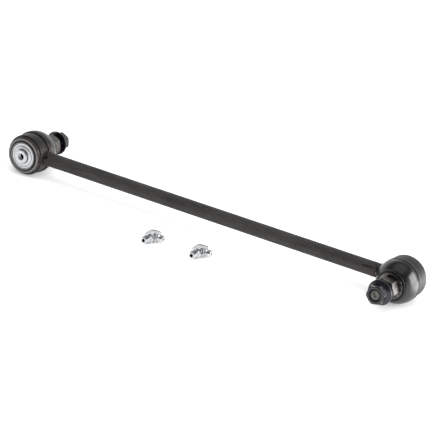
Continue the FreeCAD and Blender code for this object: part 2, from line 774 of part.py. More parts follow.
build_bar()
for joint_side in SIDES:
    build_housing(joint_side)
    build_cover_plate(joint_side)
    build_bearings(joint_side)
    build_preload_spring(joint_side)
    build_base_ring(joint_side)
    build_boot(joint_side)
    build_neck_ring(joint_side)
    build_ball_stud(joint_side)
    build_flange_nut(joint_side)
for letter in ("a", "b"):
    build_elbow(letter)
    build_nozzle(letter)
    build_check_valve(letter)

doc.recompute()

# ---------------------------------------------------------------------------------------------------
# Check and write
# ---------------------------------------------------------------------------------------------------

faults = [item.Name for item in doc.Objects if {"Invalid", "Error"} & set(item.State)]
if faults:
    raise RuntimeError("objects that did not compute: " + ", ".join(faults))

os.makedirs("parts", exist_ok=True)
for node in parts:
    shape = node.Shape
    if shape.isNull() or not shape.isValid() or shape.Volume <= 0:
        raise RuntimeError("no valid solid in " + node.Label)
    shape.exportStep("parts/%s.step" % node.Label)
    box = shape.BoundBox
    span = (box.XMin, box.YMin, box.ZMin, box.XMax, box.YMax, box.ZMax)
    print("%-26s %10.1f mm3  " % (node.Label, shape.Volume) + "  ".join("%7.2f" % end for end in span))
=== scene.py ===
import json
import math

import bmesh
import bpy
from bpy.props import FloatProperty, FloatVectorProperty, IntProperty, PointerProperty
from mathutils import Matrix, Vector, noise


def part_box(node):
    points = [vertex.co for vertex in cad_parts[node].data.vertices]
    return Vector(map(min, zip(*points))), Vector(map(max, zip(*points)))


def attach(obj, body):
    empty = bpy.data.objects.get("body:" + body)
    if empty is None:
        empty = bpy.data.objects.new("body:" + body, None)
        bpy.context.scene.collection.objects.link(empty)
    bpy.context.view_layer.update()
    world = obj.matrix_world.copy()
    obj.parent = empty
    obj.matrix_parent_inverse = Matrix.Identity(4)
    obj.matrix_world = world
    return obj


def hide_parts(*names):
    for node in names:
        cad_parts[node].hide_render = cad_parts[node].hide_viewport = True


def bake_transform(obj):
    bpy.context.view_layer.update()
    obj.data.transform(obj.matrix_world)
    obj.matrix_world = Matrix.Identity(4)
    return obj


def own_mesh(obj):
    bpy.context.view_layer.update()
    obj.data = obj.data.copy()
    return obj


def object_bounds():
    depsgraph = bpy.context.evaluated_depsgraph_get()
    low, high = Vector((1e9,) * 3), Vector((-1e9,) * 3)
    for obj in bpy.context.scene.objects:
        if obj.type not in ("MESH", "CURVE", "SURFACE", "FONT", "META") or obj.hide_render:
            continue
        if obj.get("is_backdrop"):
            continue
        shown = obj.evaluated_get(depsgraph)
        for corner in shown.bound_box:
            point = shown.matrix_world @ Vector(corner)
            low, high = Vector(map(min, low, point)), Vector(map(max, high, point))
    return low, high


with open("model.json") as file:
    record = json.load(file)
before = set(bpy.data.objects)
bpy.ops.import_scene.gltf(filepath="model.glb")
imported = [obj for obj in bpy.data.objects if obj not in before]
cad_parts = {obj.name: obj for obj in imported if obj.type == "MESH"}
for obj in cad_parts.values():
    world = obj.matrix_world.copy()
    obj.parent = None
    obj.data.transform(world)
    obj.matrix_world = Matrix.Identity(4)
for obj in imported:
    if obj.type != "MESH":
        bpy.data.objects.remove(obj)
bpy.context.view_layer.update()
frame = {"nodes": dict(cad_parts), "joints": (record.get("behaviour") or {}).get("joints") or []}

bl_info = {
    "name": "Stabiliser Bar Link",
    "version": (1, 0, 0),
    "blender": (4, 5, 0),
    "location": "View3D > Sidebar > Link",
    "description": "Dresses a stabiliser bar link with its ball joints, boots, nuts and grease fittings",
    "category": "Object",
}

SIDES = {"left": -1, "right": 1}
FITTINGS = ("a", "b")


def mm(value):
    return value / 1000


def colour(code):
    """An sRGB hex colour as linear red, green and blue."""
    parts = [int(code[start:start + 2], 16) / 255 for start in (1, 3, 5)]
    return tuple(p / 12.92 if p <= 0.04045 else ((p + 0.055) / 1.055) ** 2.4 for p in parts)


def length(name, description, millimetres):
    return FloatProperty(
        name=name, description=description, default=mm(millimetres), unit="LENGTH", subtype="DISTANCE",
        precision=5)


def angle(name, description, degrees):
    return FloatProperty(
        name=name, description=description, default=math.radians(degrees), unit="ROTATION", subtype="ANGLE")


def tint(name, description, code):
    return FloatVectorProperty(
        name=name, description=description, default=colour(code), size=3, min=0, max=1, subtype="COLOR")


# Shapes
TINY = 1e-6
EDGE_SHARE = 0.45  # most of an edge that a rounding may take
STRAIGHT = math.radians(172)  # a corner as open as this isn't rounded
CORNER_BREAK = mm(0.1)  # what is taken off a hexagon's corners
SINK_DEPTH = mm(0.12)  # countersink of a nut
THREAD_FLAT = 0.12  # share of the pitch that the flat of a crest or of a root takes
BAR_STATIONS = 120  # steps along the bar, apart from those at its slot and dent
WELD_RIPPLE = 0.14  # share of the weld's height that its ripples take

# Finishes
BAND_CORE = 0.3  # share of a band's reach from its middle that has the full strength
HIGHLIGHT_FROM, HIGHLIGHT_TO = 0.55, 0.66  # pointiness of an edge at which the painted edge highlight starts and is full
HIGHLIGHT_SHARE = 0.7  # share of the highlight tone mixed in where the painted edge highlight is full

# Stage
CAMERA_TARGET = (mm(8.5), mm(3.45), mm(-2.8))
CARD_X = (0.215, 0.25)  # where the reflected card starts and is full, in metres
CARD_Y = (-0.02, 0.015)
PAPER_MIRRORED = 0.3  # share of the paper's glow that reflections see
SWEEP_EDGE = (0.25, 0.6)  # heights between which the mirrored sweep turns into the dark studio
PANEL_EDGE = (0.8, 0.92)  # heights between which the ceiling panel starts
STUDIO_DARK, PANEL_LIGHT, EVEN_LIGHT = 0.14, 0.6, 0.5
# name, place, the point it faces, width, power in watts, whether reflections see it
LAMPS = (
    ("overhead", (0.15, -0.3, 1.4), (0, 0, 0), 1.6, 15, False),
    ("front", (0.3, -1.4, 0.6), (0, 0, 0), 0.9, 4, False),
    ("right_side", (1.2, 0.35, 0.4), (0.15, 0, 0), 0.8, 12, True),
)


# ---------------------------------------------------------------------------------------------------
# Sizes and colours. Along a joint's axis, "rise" counts from the ball's centre towards the stud's end
# and "reach" counts from it towards the cover plate.
# ---------------------------------------------------------------------------------------------------

class LinkBarSizes(bpy.types.PropertyGroup):
    rod_dia: length("Bar diameter", "Diameter of the round bar", 12.7)
    crimp_inset: length("Crimp inset", "From the right joint's axis to the middle of the crimp", 29.5)
    crimp_length: length("Crimp length", "Length of the pressed slot beside the right joint", 10.5)
    crimp_width: length("Crimp width", "Width of the pressed slot", 1.6)
    crimp_depth: length("Crimp depth", "Depth of the pressed slot", 1.1)
    crimp_turn: angle("Crimp turn", "Place of the slot round the bar, from the top towards the front", 61)
    dent_inset: length("Dent inset", "From the left joint's axis to the middle of the shallow dent", 49.5)
    dent_length: length("Dent length", "Length of the shallow dent beside the left joint", 15)
    dent_width: length("Dent width", "Width of the shallow dent", 2.4)
    dent_depth: length("Dent depth", "Depth of the shallow dent", 0.35)
    dent_turn: angle("Dent turn", "Place of the dent round the bar, from the top towards the front", 64)
    bead_height: length("Weld height", "How far the weld stands above the bar", 0.65)
    bead_length: length("Weld length", "How far the weld runs along the bar from the housing", 4.5)
    heat_reach: length("Heat tint reach", "How far the weld's heat tint runs along the bar", 16)
    spatter_dia: length("Spatter diameter", "Largest droplets of weld spatter", 0.9)
    spatter_reach: length("Spatter reach", "How far along the bar the spatter lies", 7.0)
    spatter_density: FloatProperty(
        name="Spatter density", description="Droplets to the square metre", default=110000)
    spatter_seed: IntProperty(name="Spatter seed", description="Changes where the droplets lie", default=4)


class LinkJointSizes(bpy.types.PropertyGroup):
    body_dia: length("Housing diameter", "Turned body of the housing", 36.8)
    flange_dia: length("Flange diameter", "Flange that carries the boot", 38.3)
    nose_dia: length("Nose diameter", "Turned nose at the cover end", 34.4)
    annulus_dia: length("Annulus diameter", "Flat ring round the cover plate", 29.6)
    annulus_reach: length("Annulus reach", "Place of the flat ring", 11.4)
    nose_edge_reach: length("Nose edge reach", "Where the nose's rounded edge ends", 9.9)
    nose_step_reach: length("Nose step reach", "Foot of the nose", 8.6)
    body_edge_reach: length("Body edge reach", "Front edge of the body", 8)
    groove_rise: length("Groove rise", "Near side of the turned groove", 2.7)
    groove_width: length("Groove width", "Width of the turned groove", 0.6)
    groove_depth: length("Groove depth", "Depth of the turned groove", 0.7)
    seat_rise: length("Boot seat rise", "Rear face of the housing", 7)
    chamber_dia: length("Chamber diameter", "Bore that holds the bearings", 22.4)
    chamber_rise: length("Chamber rise", "Shoulder that holds the bearings", 5)
    mouth_dia: length("Mouth diameter", "Opening for the stud at the shoulder", 19.2)
    mouth_outer_dia: length("Outer mouth diameter", "Opening for the stud at the rear face", 20.8)
    lip_height: length("Lip height", "Height of the lip staked over the cover plate", 0.5)
    lip_overlap: length("Lip overlap", "How far the lip covers the plate", 0.45)
    lip_wall: length("Lip wall", "Thickness of the staked lip", 0.9)
    plate_dia: length("Plate diameter", "Cover plate", 24.2)
    plate_inner_reach: length("Plate inner reach", "Inner face of the cover plate", 10.4)
    plate_thickness: length("Plate thickness", "Thickness at the cover plate's rim", 1.5)
    step_dia: length("Step diameter", "Pressed step of the cover plate", 19.2)
    step_height: length("Step height", "Height of the pressed step", 0.35)
    boss_dia: length("Boss diameter", "Raised boss of the cover plate", 12.6)
    boss_height: length("Boss height", "Height of the boss above the rim", 3.1)
    boss_foot_height: length("Boss foot height", "Height of the boss's foot above the rim", 0.9)
    port_dia: length("Port diameter", "Pitch diameter of the grease port's thread", 5.8)
    port_pitch: length("Port thread pitch", "Pitch of the grease port's thread", 0.907)
    port_thread: length("Port thread depth", "Depth of the grease port's thread", 0.45)
    fit_gap: length("Fit gap", "Running gap between seated pieces", 0.05)


class LinkStudSizes(bpy.types.PropertyGroup):
    ball_dia: length("Ball diameter", "Ball of the stud", 19)
    ball_flat_reach: length("Ball flat reach", "Flat under the ball", 8.6)
    neck_dia: length("Neck diameter", "Neck above the ball", 10.4)
    neck_rise: length("Neck rise", "Where the neck starts to widen", 14.5)
    boot_seat_dia: length("Boot seat diameter", "Seat of the boot's collar", 15)
    boot_seat_rise: length("Boot seat rise", "Start of the boot's seat", 18)
    flange_dia: length("Round flange diameter", "Round flange between boot and collar", 22.8)
    flange_rise: length("Round flange rise", "Boot side of the round flange", 21.5)
    flange_thickness: length("Round flange thickness", "Thickness of the round flange", 1.7)
    collar_width: length("Collar width", "Hexagon collar across its flats", 17.5)
    collar_height: length("Collar height", "Length of the hexagon collar", 10.8)
    collar_chamfer: length("Collar chamfer", "How far the collar's corners are cut back", 0.9)
    grip_dia: length("Grip diameter", "Plain shank under the nut", 10)
    grip_length: length("Grip length", "Plain shank between collar and nut", 5.2)
    thread_major_dia: length("Thread major diameter", "Crests of the stud's thread", 9.9)
    thread_minor_dia: length("Thread minor diameter", "Roots of the stud's thread", 8.2)
    thread_pitch: length("Thread pitch", "Pitch of the stud's thread", 1.5)
    thread_length: length("Thread length", "Threaded end of the stud", 9.3)
    thread_gap: length("Thread gap", "Gap between the stud's and the nut's threads", 0.08)
    stud_end_dia: length("Stud end", "Flat face at the stud's end", 8.1)
    stud_centre_dia: length("Centre drilling", "Lathe centre in the stud's end", 2.6)
    left_collar_turn: angle("Left collar turn", "Turn of the left stud's hexagon", 20)
    right_collar_turn: angle("Right collar turn", "Turn of the right stud's hexagon", -10)
    nut_width: length("Nut width", "Nut across its flats", 15)
    nut_height: length("Nut height", "Height of the flange nut", 10)
    nut_flange_dia: length("Nut flange diameter", "Flange of the nut", 21.8)
    nut_flange_rim: length("Nut rim height", "Height of the flange's rim", 1.3)
    nut_flange_cone: length("Nut cone height", "Height of the cone from the rim to the hexagon", 1.9)
    nut_chamfer: length("Nut chamfer", "How far the nut's corners are cut back", 0.9)
    nut_sink_dia: length("Nut countersink", "Countersink at the ends of the nut's thread", 10.8)
    left_nut_turn: angle("Left nut turn", "Turn of the left nut", 25)
    right_nut_turn: angle("Right nut turn", "Turn of the right nut", 11)


class LinkBootSizes(bpy.types.PropertyGroup):
    base_dia: length("Base diameter", "Boot at the housing", 37.4)
    widest_dia: length("Widest diameter", "Boot at its widest", 38.1)
    shoulder_dia: length("Shoulder diameter", "Boot at the foot of its collar", 27.4)
    base_rise: length("Base rise", "Where the boot meets the housing", 7.3)
    split_rise: length("Fold rise", "Where the boot's lower part meets its upper part", 14)
    top_rise: length("Top rise", "Upper end of the boot's collar", 21.2)
    dome_radius: length("Dome radius", "Radius of the boot's dome", 20)
    wall: length("Wall", "Thickness of the rubber", 1.6)
    ring_dia: length("Neck ring diameter", "Ring round the boot's collar", 26)
    ring_wire: length("Neck ring thickness", "Thickness of the neck ring", 0.9)
    ring_gap: length("Neck ring gap", "Gap between the neck ring and the collar", 0.3)


class LinkFittingSizes(bpy.types.PropertyGroup):
    leg_length: length("Leg length", "From the elbow's centre to the threaded end", 15.2)
    thread_dia: length("Thread diameter", "Crests of the leg's thread", 5.76)
    thread_minor_dia: length("Thread minor diameter", "Roots of the leg's thread", 5.0)
    thread_pitch: length("Thread pitch", "Pitch of the leg's thread", 0.907)
    thread_length: length("Thread length", "Threaded part of the leg", 6.7)
    bore_dia: length("Bore diameter", "Open bore of the leg", 2.9)
    hex_width: length("Hexagon width", "Wrench hexagon across its flats", 9.5)
    hex_length: length("Hexagon length", "Length of the wrench hexagon", 6.5)
    hex_chamfer: length("Hexagon chamfer", "How far the hexagon's corners are cut back", 0.5)
    block_width: length("Block width", "Flat-sided block, across its flats", 8.6)
    block_run: length("Block run", "How far the block runs along the leg", 3.5)
    block_edge: length("Block edge", "Rounding of the block's edges", 0.45)
    socket_margin: length("Socket margin", "From the hexagon's corner to the nozzle's collar", 0.12)
    nozzle_start: length("Nozzle start", "Inner end of the nozzle", 2.2)
    shank_dia: length("Nozzle shank diameter", "Pressed-in shank of the nozzle", 4.4)
    collar_dia: length("Nozzle collar diameter", "Collar that seats on the block", 6.8)
    collar_width: length("Nozzle collar width", "Width of that collar", 1.0)
    collar_cone: length("Nozzle collar cone", "Cone from the collar to the neck", 0.6)
    neck_dia: length("Nozzle neck diameter", "Neck behind the nozzle's head", 4.8)
    neck_length: length("Nozzle neck length", "Plain part of the neck", 0.5)
    nozzle_dia: length("Nozzle head diameter", "Head that the grease coupler grips", 6.5)
    head_cone: length("Nozzle head cone", "Cone from the neck to the head", 0.6)
    head_length: length("Nozzle head length", "Length of the head", 1.3)
    tip_dia: length("Nozzle tip diameter", "Face of the nozzle", 4.2)
    tip_length: length("Nozzle tip length", "Cone from the head to the face", 1.4)
    nozzle_bore_dia: length("Nozzle bore diameter", "Bore behind the check ball", 2.8)
    mouth_dia: length("Mouth diameter", "Mouth that the check ball closes", 1.7)
    mouth_depth: length("Mouth depth", "Straight part of the mouth", 0.5)
    fit_gap: length("Fit gap", "Gap between the check ball and its seat", 0.05)
    coil_dia: length("Coil diameter", "Check spring's coil, between the middles of its wire", 2.2)
    coil_wire: length("Coil wire", "Diameter of the check spring's wire", 0.3)
    coil_turns: IntProperty(name="Coil turns", description="Turns of the check spring", default=4)


class LinkColours(bpy.types.PropertyGroup):
    oxide: tint("Black oxide", "Bar's dark finish", "#444241")
    phosphate: tint("Phosphate", "Housings", "#2D2C2E")
    heat: tint("Heat tint", "Brown oxide round the welds and on the noses", "#4A423C")
    zinc: tint("Bright zinc", "Cover plates and fittings", "#D2D4D6")
    steel: tint("Machined steel", "Studs", "#8F8C88")
    black_zinc: tint("Black zinc", "Flange nuts", "#24232A")
    rubber: tint("Rubber", "Boots", "#0D0D0F")
    acetal: tint("Natural acetal", "Bearings", "#E4E0D6")


class LinkStage(bpy.types.PropertyGroup):
    azimuth: angle("Azimuth", "Camera's place round the link", 29.16)
    elevation: angle("Elevation", "Camera's height above the link", 21.56)
    roll: angle("Roll", "Camera's turn about its own axis", 7.11)
    distance: FloatProperty(
        name="Distance", description="From the camera to the point it looks at", default=1.7946,
        unit="LENGTH", subtype="DISTANCE")
    lens: FloatProperty(
        name="Lens", description="Focal length in millimetres on a 36 mm sensor", default=171.54,
        unit="CAMERA")
    floor: tint("Floor", "Paper under the link", "#F2F2F2")
    backdrop: tint("Backdrop", "Light tent round the link", "#FFFFFF")
    paper_glow: FloatProperty(
        name="Paper glow", description="Light the paper gives off by itself", default=0.36)
    card_glow: FloatProperty(name="Card glow", description="Light of the card at the right", default=4.2)
    steps: IntProperty(name="Steps", description="Faces round a turned piece, a multiple of six", default=144)


GROUPS = {
    "link_bar": LinkBarSizes,
    "link_joint": LinkJointSizes,
    "link_stud": LinkStudSizes,
    "link_boot": LinkBootSizes,
    "link_fitting": LinkFittingSizes,
    "link_colours": LinkColours,
    "link_stage": LinkStage,
}


# ---------------------------------------------------------------------------------------------------
# Places
# ---------------------------------------------------------------------------------------------------

def joint_place(side):
    """Moves a piece drawn round Z, with the ball's centre at the origin, into its joint."""
    spin = next(joint for joint in frame["joints"] if joint["name"] == side + "_stud_spin")
    lay = Matrix.Rotation(math.radians(90 * SIDES[side]), 4, "X")
    return Matrix.Translation(Vector(spin["pos_m"])) @ lay


def bar_place():
    """Moves a piece drawn round Z, with the bar's middle at the origin, along +X."""
    return Matrix.Rotation(math.radians(90), 4, "Y")


def nozzle_reaches():
    """Along the nozzle from the elbow's centre: the block's face, the neck, the head and the end."""
    sizes = bpy.context.scene.link_fitting
    face = sizes.hex_width / math.sqrt(3) + sizes.socket_margin
    neck = face + sizes.collar_width + sizes.collar_cone
    head = neck + sizes.neck_length + sizes.head_cone
    return face, neck, head, head + sizes.head_length + sizes.tip_length


def fitting_place(which):
    """Moves a piece drawn with its thread along +Z and its nozzle along +X to a loose fitting's place."""
    push = next(joint for joint in frame["joints"] if joint["name"] == "fitting_%s_valve_push" % which)
    along = -Vector(push["axis"])
    sizes = bpy.context.scene.link_fitting
    low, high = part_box("fitting_%s_check_ball" % which)
    ball_reach = nozzle_reaches()[3] - sizes.mouth_depth - sizes.fit_gap
    ball_reach -= math.sqrt((high.z - low.z) ** 2 - sizes.mouth_dia ** 2) / 2
    turn = Matrix.Rotation(math.atan2(along.y, along.x), 4, "Z")
    lay = turn @ Matrix.Rotation(math.radians(90), 4, "X")
    return Matrix.Translation((low + high) / 2 - along * ball_reach) @ lay


def nozzle_place(which):
    return fitting_place(which) @ Matrix.Rotation(math.radians(90), 4, "Y")


# ---------------------------------------------------------------------------------------------------
# Shapes
# ---------------------------------------------------------------------------------------------------

def softened(corners, radius, steps=3):
    """Round the corners of an open or closed run of (radius, height) corners. A corner given as
    (radius, height, r) takes its own rounding r."""
    closed = corners[0][0] > 0
    rounded = []
    count = len(corners)
    for index, corner in enumerate(corners):
        here = Vector(corner[:2])
        if not closed and index in (0, count - 1):
            rounded.append(here)
            continue
        before = Vector(corners[index - 1][:2]) - here
        after = Vector(corners[(index + 1) % count][:2]) - here
        wanted = corner[2] if len(corner) == 3 else radius
        reach = min(wanted, before.length * EDGE_SHARE, after.length * EDGE_SHARE)
        if reach < TINY or before.angle(after) > STRAIGHT:
            rounded.append(here)
            continue
        start = here + before.normalized() * reach
        end = here + after.normalized() * reach
        for step in range(steps + 1):
            share = step / steps
            rounded.append(start * (1 - share) ** 2 + here * 2 * share * (1 - share) + end * share ** 2)
    return [(point.x, point.y) for point in rounded]


def arc(start, end, radius, side, steps=12):
    """Points of the short arc from start to end, without its ends; side is 1 with its centre to the left."""
    start, end = Vector(start), Vector(end)
    chord = end - start
    left = Vector((-chord.y, chord.x)).normalized()
    centre = (start + end) / 2 + left * side * math.sqrt(max(radius ** 2 - chord.length ** 2 / 4, 0))
    first = math.atan2(*(start - centre).yx)
    sweep = (math.atan2(*(end - centre).yx) - first + math.pi) % (2 * math.pi) - math.pi
    angles = [first + sweep * step / steps for step in range(1, steps)]
    return [(centre.x + radius * math.cos(a), centre.y + radius * math.sin(a)) for a in angles]


def spun(name, outline_at, place, turns=None):
    """A solid turned round Z. outline_at(angle) gives its (radius, height) outline at that angle, so the
    outline may change on the way round: a closed loop, or a run that starts and ends on the axis."""
    round_steps = bpy.context.scene.link_stage.steps
    turns = turns or [2 * math.pi * step / round_steps for step in range(round_steps)]
    steps = len(turns)
    shape = bmesh.new()
    rows = []
    for turn in turns:
        rows.append([(r * math.cos(turn), r * math.sin(turn), z) for r, z in outline_at(turn)])
    first = outline_at(0)
    solid = first[0][0] < TINY
    count = len(first)
    poles = {}
    if solid:
        for end in (0, count - 1):
            poles[end] = shape.verts.new(rows[0][end])
    grid = [[poles.get(i) or shape.verts.new(row[i]) for i in range(count)] for row in rows]
    for step in range(steps):
        here, there = grid[step], grid[(step + 1) % steps]
        for i in range(count - 1 if solid else count):
            j = (i + 1) % count
            corners = [here[i], there[i], there[j], here[j]]
            face = [v for k, v in enumerate(corners) if v not in corners[:k]]
            if len(face) > 2:
                shape.faces.new(face)
    bmesh.ops.recalc_face_normals(shape, faces=shape.faces)
    return placed(name, shape, place)


def placed(name, shape, place, sharp=24):
    """Turn a bmesh into a smooth-shaded object whose place is in its mesh."""
    mesh = bpy.data.meshes.new(name)
    shape.transform(place)
    shape.to_mesh(mesh)
    shape.free()
    mesh.polygons.foreach_set("use_smooth", [True] * len(mesh.polygons))
    mesh.set_sharp_from_angle(angle=math.radians(sharp))
    piece = bpy.data.objects.new(name, mesh)
    bpy.context.scene.collection.objects.link(piece)
    return piece


def hexagon_turns(start):
    """Angles that put a narrow facet on each corner of a hexagon and even steps between the corners."""
    offsets = [-30, -29.3, -26] + list(range(-20, 21, 5)) + [26, 29.3]
    return [start + math.radians(60 * side + 30 + offset) for side in range(6) for offset in offsets]


def hexagon_radius(turn, width):
    """Distance from a hexagon's middle to its side at an angle, with slightly broken corners."""
    from_flat = (turn % math.radians(60)) - math.radians(30)
    flat = width / 2 / math.cos(from_flat)
    return min(flat, width / math.sqrt(3) - CORNER_BREAK)


def hexagon_wall(turn, width, low, high, low_cut, high_cut):
    """The outline of a hexagon's wall at an angle, from its lower face to its upper one, with its
    corners cut back by 30 degree cones."""
    radius = hexagon_radius(turn, width)
    corner = width / math.sqrt(3)
    run = []
    for face, cut, way in ((low, low_cut, 1), (high, high_cut, -1)):
        cone = corner - cut * math.sqrt(3)
        top = min(radius, cone) if cut else radius
        run.append([(top, face), (radius, face + way * max(radius - top, 0) * math.tan(math.radians(30)))])
    return run[0] + run[1][::-1]


def thread(turn, start, end, pitch, crest, root, steps_per_pitch=6):
    """The outline of a thread from start to end, running out to its roots at both ends."""
    count = max(2, round(abs(end - start) / pitch * steps_per_pitch))
    run = []
    for step in range(count + 1):
        height = start + (end - start) * step / count
        phase = (height / pitch - turn / (2 * math.pi)) % 1
        rise = 1 - abs(2 * phase - 1)
        rise = min(max((rise - THREAD_FLAT) / (1 - 2 * THREAD_FLAT), 0), 1)
        fade = min(step, count - step, steps_per_pitch) / steps_per_pitch
        run.append((root + (crest - root) * rise * fade, height))
    return run


# ---------------------------------------------------------------------------------------------------
# Materials
# ---------------------------------------------------------------------------------------------------

def add(tree, kind, inputs=None, stops=(), **settings):
    """Add a node with its settings. An input takes a value or another node's output. A colour ramp's
    stops are (position, tone), whose tone is a linear colour or a grey level."""
    made = tree.nodes.new(kind)
    for key, value in settings.items():
        setattr(made, key, value)
    for key, value in (inputs or {}).items():
        if isinstance(value, bpy.types.NodeSocket):
            tree.links.new(value, made.inputs[key])
        else:
            made.inputs[key].default_value = value
    if stops:
        elements = made.color_ramp.elements
        while len(elements) < len(stops):
            elements.new(0.5)
        for element, (position, tone) in zip(elements, stops):
            element.position = position
            element.color = (*tone, 1) if isinstance(tone, tuple) else (tone, tone, tone, 1)
    return made


def per(millimetres):
    """A pattern's scale for a feature of that real size, on coordinates in metres."""
    return 1000 / millimetres


def shade(rgb, factor):
    return tuple(min(1.0, channel * factor) for channel in rgb)


def start_material(name):
    material = bpy.data.materials.new(name)
    material.use_nodes = True
    tree = material.node_tree
    tree.nodes.clear()
    where = add(tree, "ShaderNodeTexCoord").outputs["Object"]
    return material, tree, where


def close_material(tree, base, pattern, roughness, relief, depth, constants):
    """The shader and the output. Roughness gives its values where the pattern is 0 and 1, and relief is
    the pattern that stands out by the depth."""
    rough = add(tree, "ShaderNodeMapRange", {
        "Value": pattern, "To Min": roughness[0], "To Max": roughness[1]}).outputs[0]
    normal = add(tree, "ShaderNodeBump", {"Height": relief, "Strength": 1.0, "Distance": depth}).outputs[0]
    shader = add(tree, "ShaderNodeBsdfPrincipled", {
        "Base Color": base, "Roughness": rough, "Normal": normal, **constants})
    add(tree, "ShaderNodeOutputMaterial", {"Surface": shader.outputs["BSDF"]})


def speckle(tree, where, millimetres, detail=4.0, rough=0.55, stretch=None):
    """Fine noise of a real grain size, drawn out along an axis where stretch is given."""
    if stretch:
        where = add(tree, "ShaderNodeMapping", {"Vector": where, "Scale": stretch}).outputs["Vector"]
    return add(tree, "ShaderNodeTexNoise", {
        "Vector": where, "Scale": per(millimetres), "Detail": detail, "Roughness": rough}).outputs["Fac"]


def heat_band(tree, where, half_span, reach):
    """1 at the bar's welded ends, fading to 0 towards its middle."""
    along = add(tree, "ShaderNodeSeparateXYZ", {"Vector": where}).outputs["X"]
    distance = add(tree, "ShaderNodeMath", {0: along}, operation="ABSOLUTE").outputs[0]
    band = add(tree, "ShaderNodeMapRange", {
        "Value": distance, "From Min": half_span - reach, "From Max": half_span})
    return band.outputs["Result"]


def round_joint(tree, where, half_span):
    """Round the nearer joint's own axis: how far a point lies out along the bar from it, how far towards
    the cover plate, and its radius."""
    parts = add(tree, "ShaderNodeSeparateXYZ", {"Vector": where})
    outward = add(tree, "ShaderNodeMath", {0: parts.outputs["X"]}, operation="ABSOLUTE").outputs[0]
    centred = add(tree, "ShaderNodeMath", {0: outward, 1: half_span}, operation="SUBTRACT").outputs[0]
    side = add(tree, "ShaderNodeMath", {0: parts.outputs["X"]}, operation="SIGN").outputs[0]
    reach = add(tree, "ShaderNodeMath", {0: parts.outputs["Y"], 1: side}, operation="MULTIPLY").outputs[0]
    across = add(tree, "ShaderNodeCombineXYZ", {"X": centred, "Y": parts.outputs["Z"]}).outputs[0]
    radius = add(tree, "ShaderNodeVectorMath", {0: across}, operation="LENGTH").outputs["Value"]
    return centred, reach, radius


def painted_rings(tree, base, radius, rings, tone=(0.012, 0.012, 0.013), strength=0.85):
    """Paint narrow rings of a turned face with a flat tone: painted shade in corners and grooves, or a
    painted highlight line where a light tone is given: (radius, width).
    """
    for middle, width in rings:
        off = add(tree, "ShaderNodeMath", {0: radius, 1: middle}, operation="SUBTRACT").outputs[0]
        off = add(tree, "ShaderNodeMath", {0: off}, operation="ABSOLUTE").outputs[0]
        near = add(tree, "ShaderNodeMapRange", {
            "Value": off, "From Min": width * BAND_CORE, "From Max": width,
            "To Min": strength, "To Max": 0.0})
        base = add(tree, "ShaderNodeMix", {
            0: near.outputs["Result"], 6: base, 7: (*tone, 1)}, data_type="RGBA").outputs[2]
    return base


def painted_edge_highlight(tree, base, tone):
    """Lighten sharp outer edges with a painted highlight."""
    sharp = add(tree, "ShaderNodeNewGeometry").outputs["Pointiness"]
    # painted highlight: how far each sharp edge is lightened
    worn = add(tree, "ShaderNodeMapRange", {
        "Value": sharp, "From Min": HIGHLIGHT_FROM, "From Max": HIGHLIGHT_TO, "To Max": HIGHLIGHT_SHARE})
    return add(tree, "ShaderNodeMix", {
        0: worn.outputs["Result"], 6: base, 7: (*tone, 1)}, data_type="RGBA").outputs[2]


def black_oxide_bar(colours, bar, half_span):
    """Hot-rolled bar with black oxide: a dark satin grey, mottled, with faint marks along its length and
    brown heat tint beside the welds."""
    material, tree, where = start_material("black_oxide_steel_bar")
    blotch = speckle(tree, where, 9.0, 5.0, 0.6, (0.35, 1, 1))
    grain = speckle(tree, where, 0.9, 3.0, 0.6, (0.12, 1, 1))
    dark = add(tree, "ShaderNodeValToRGB", {"Fac": blotch}, [
        (0.3, shade(colours.oxide, 0.72)), (0.7, shade(colours.oxide, 1.35))]).outputs["Color"]
    streak = add(tree, "ShaderNodeValToRGB", {"Fac": grain}, [
        (0.35, 0.75), (0.65, 1.2)]).outputs["Color"]
    base = add(tree, "ShaderNodeMix", {0: 0.7, 6: dark, 7: streak}, data_type="RGBA",
               blend_type="MULTIPLY").outputs[2]
    band = heat_band(tree, where, half_span, bar.heat_reach)
    burnt = add(tree, "ShaderNodeValToRGB", {"Fac": blotch}, [
        (0.3, shade(colours.heat, 0.45)), (0.62, shade(colours.heat, 1.1))]).outputs["Color"]
    base = add(tree, "ShaderNodeMix", {0: band, 6: base, 7: burnt}, data_type="RGBA").outputs[2]
    close_material(tree, base, grain, (0.5, 0.66), grain, mm(0.05), {"Metallic": 0.55})
    return material


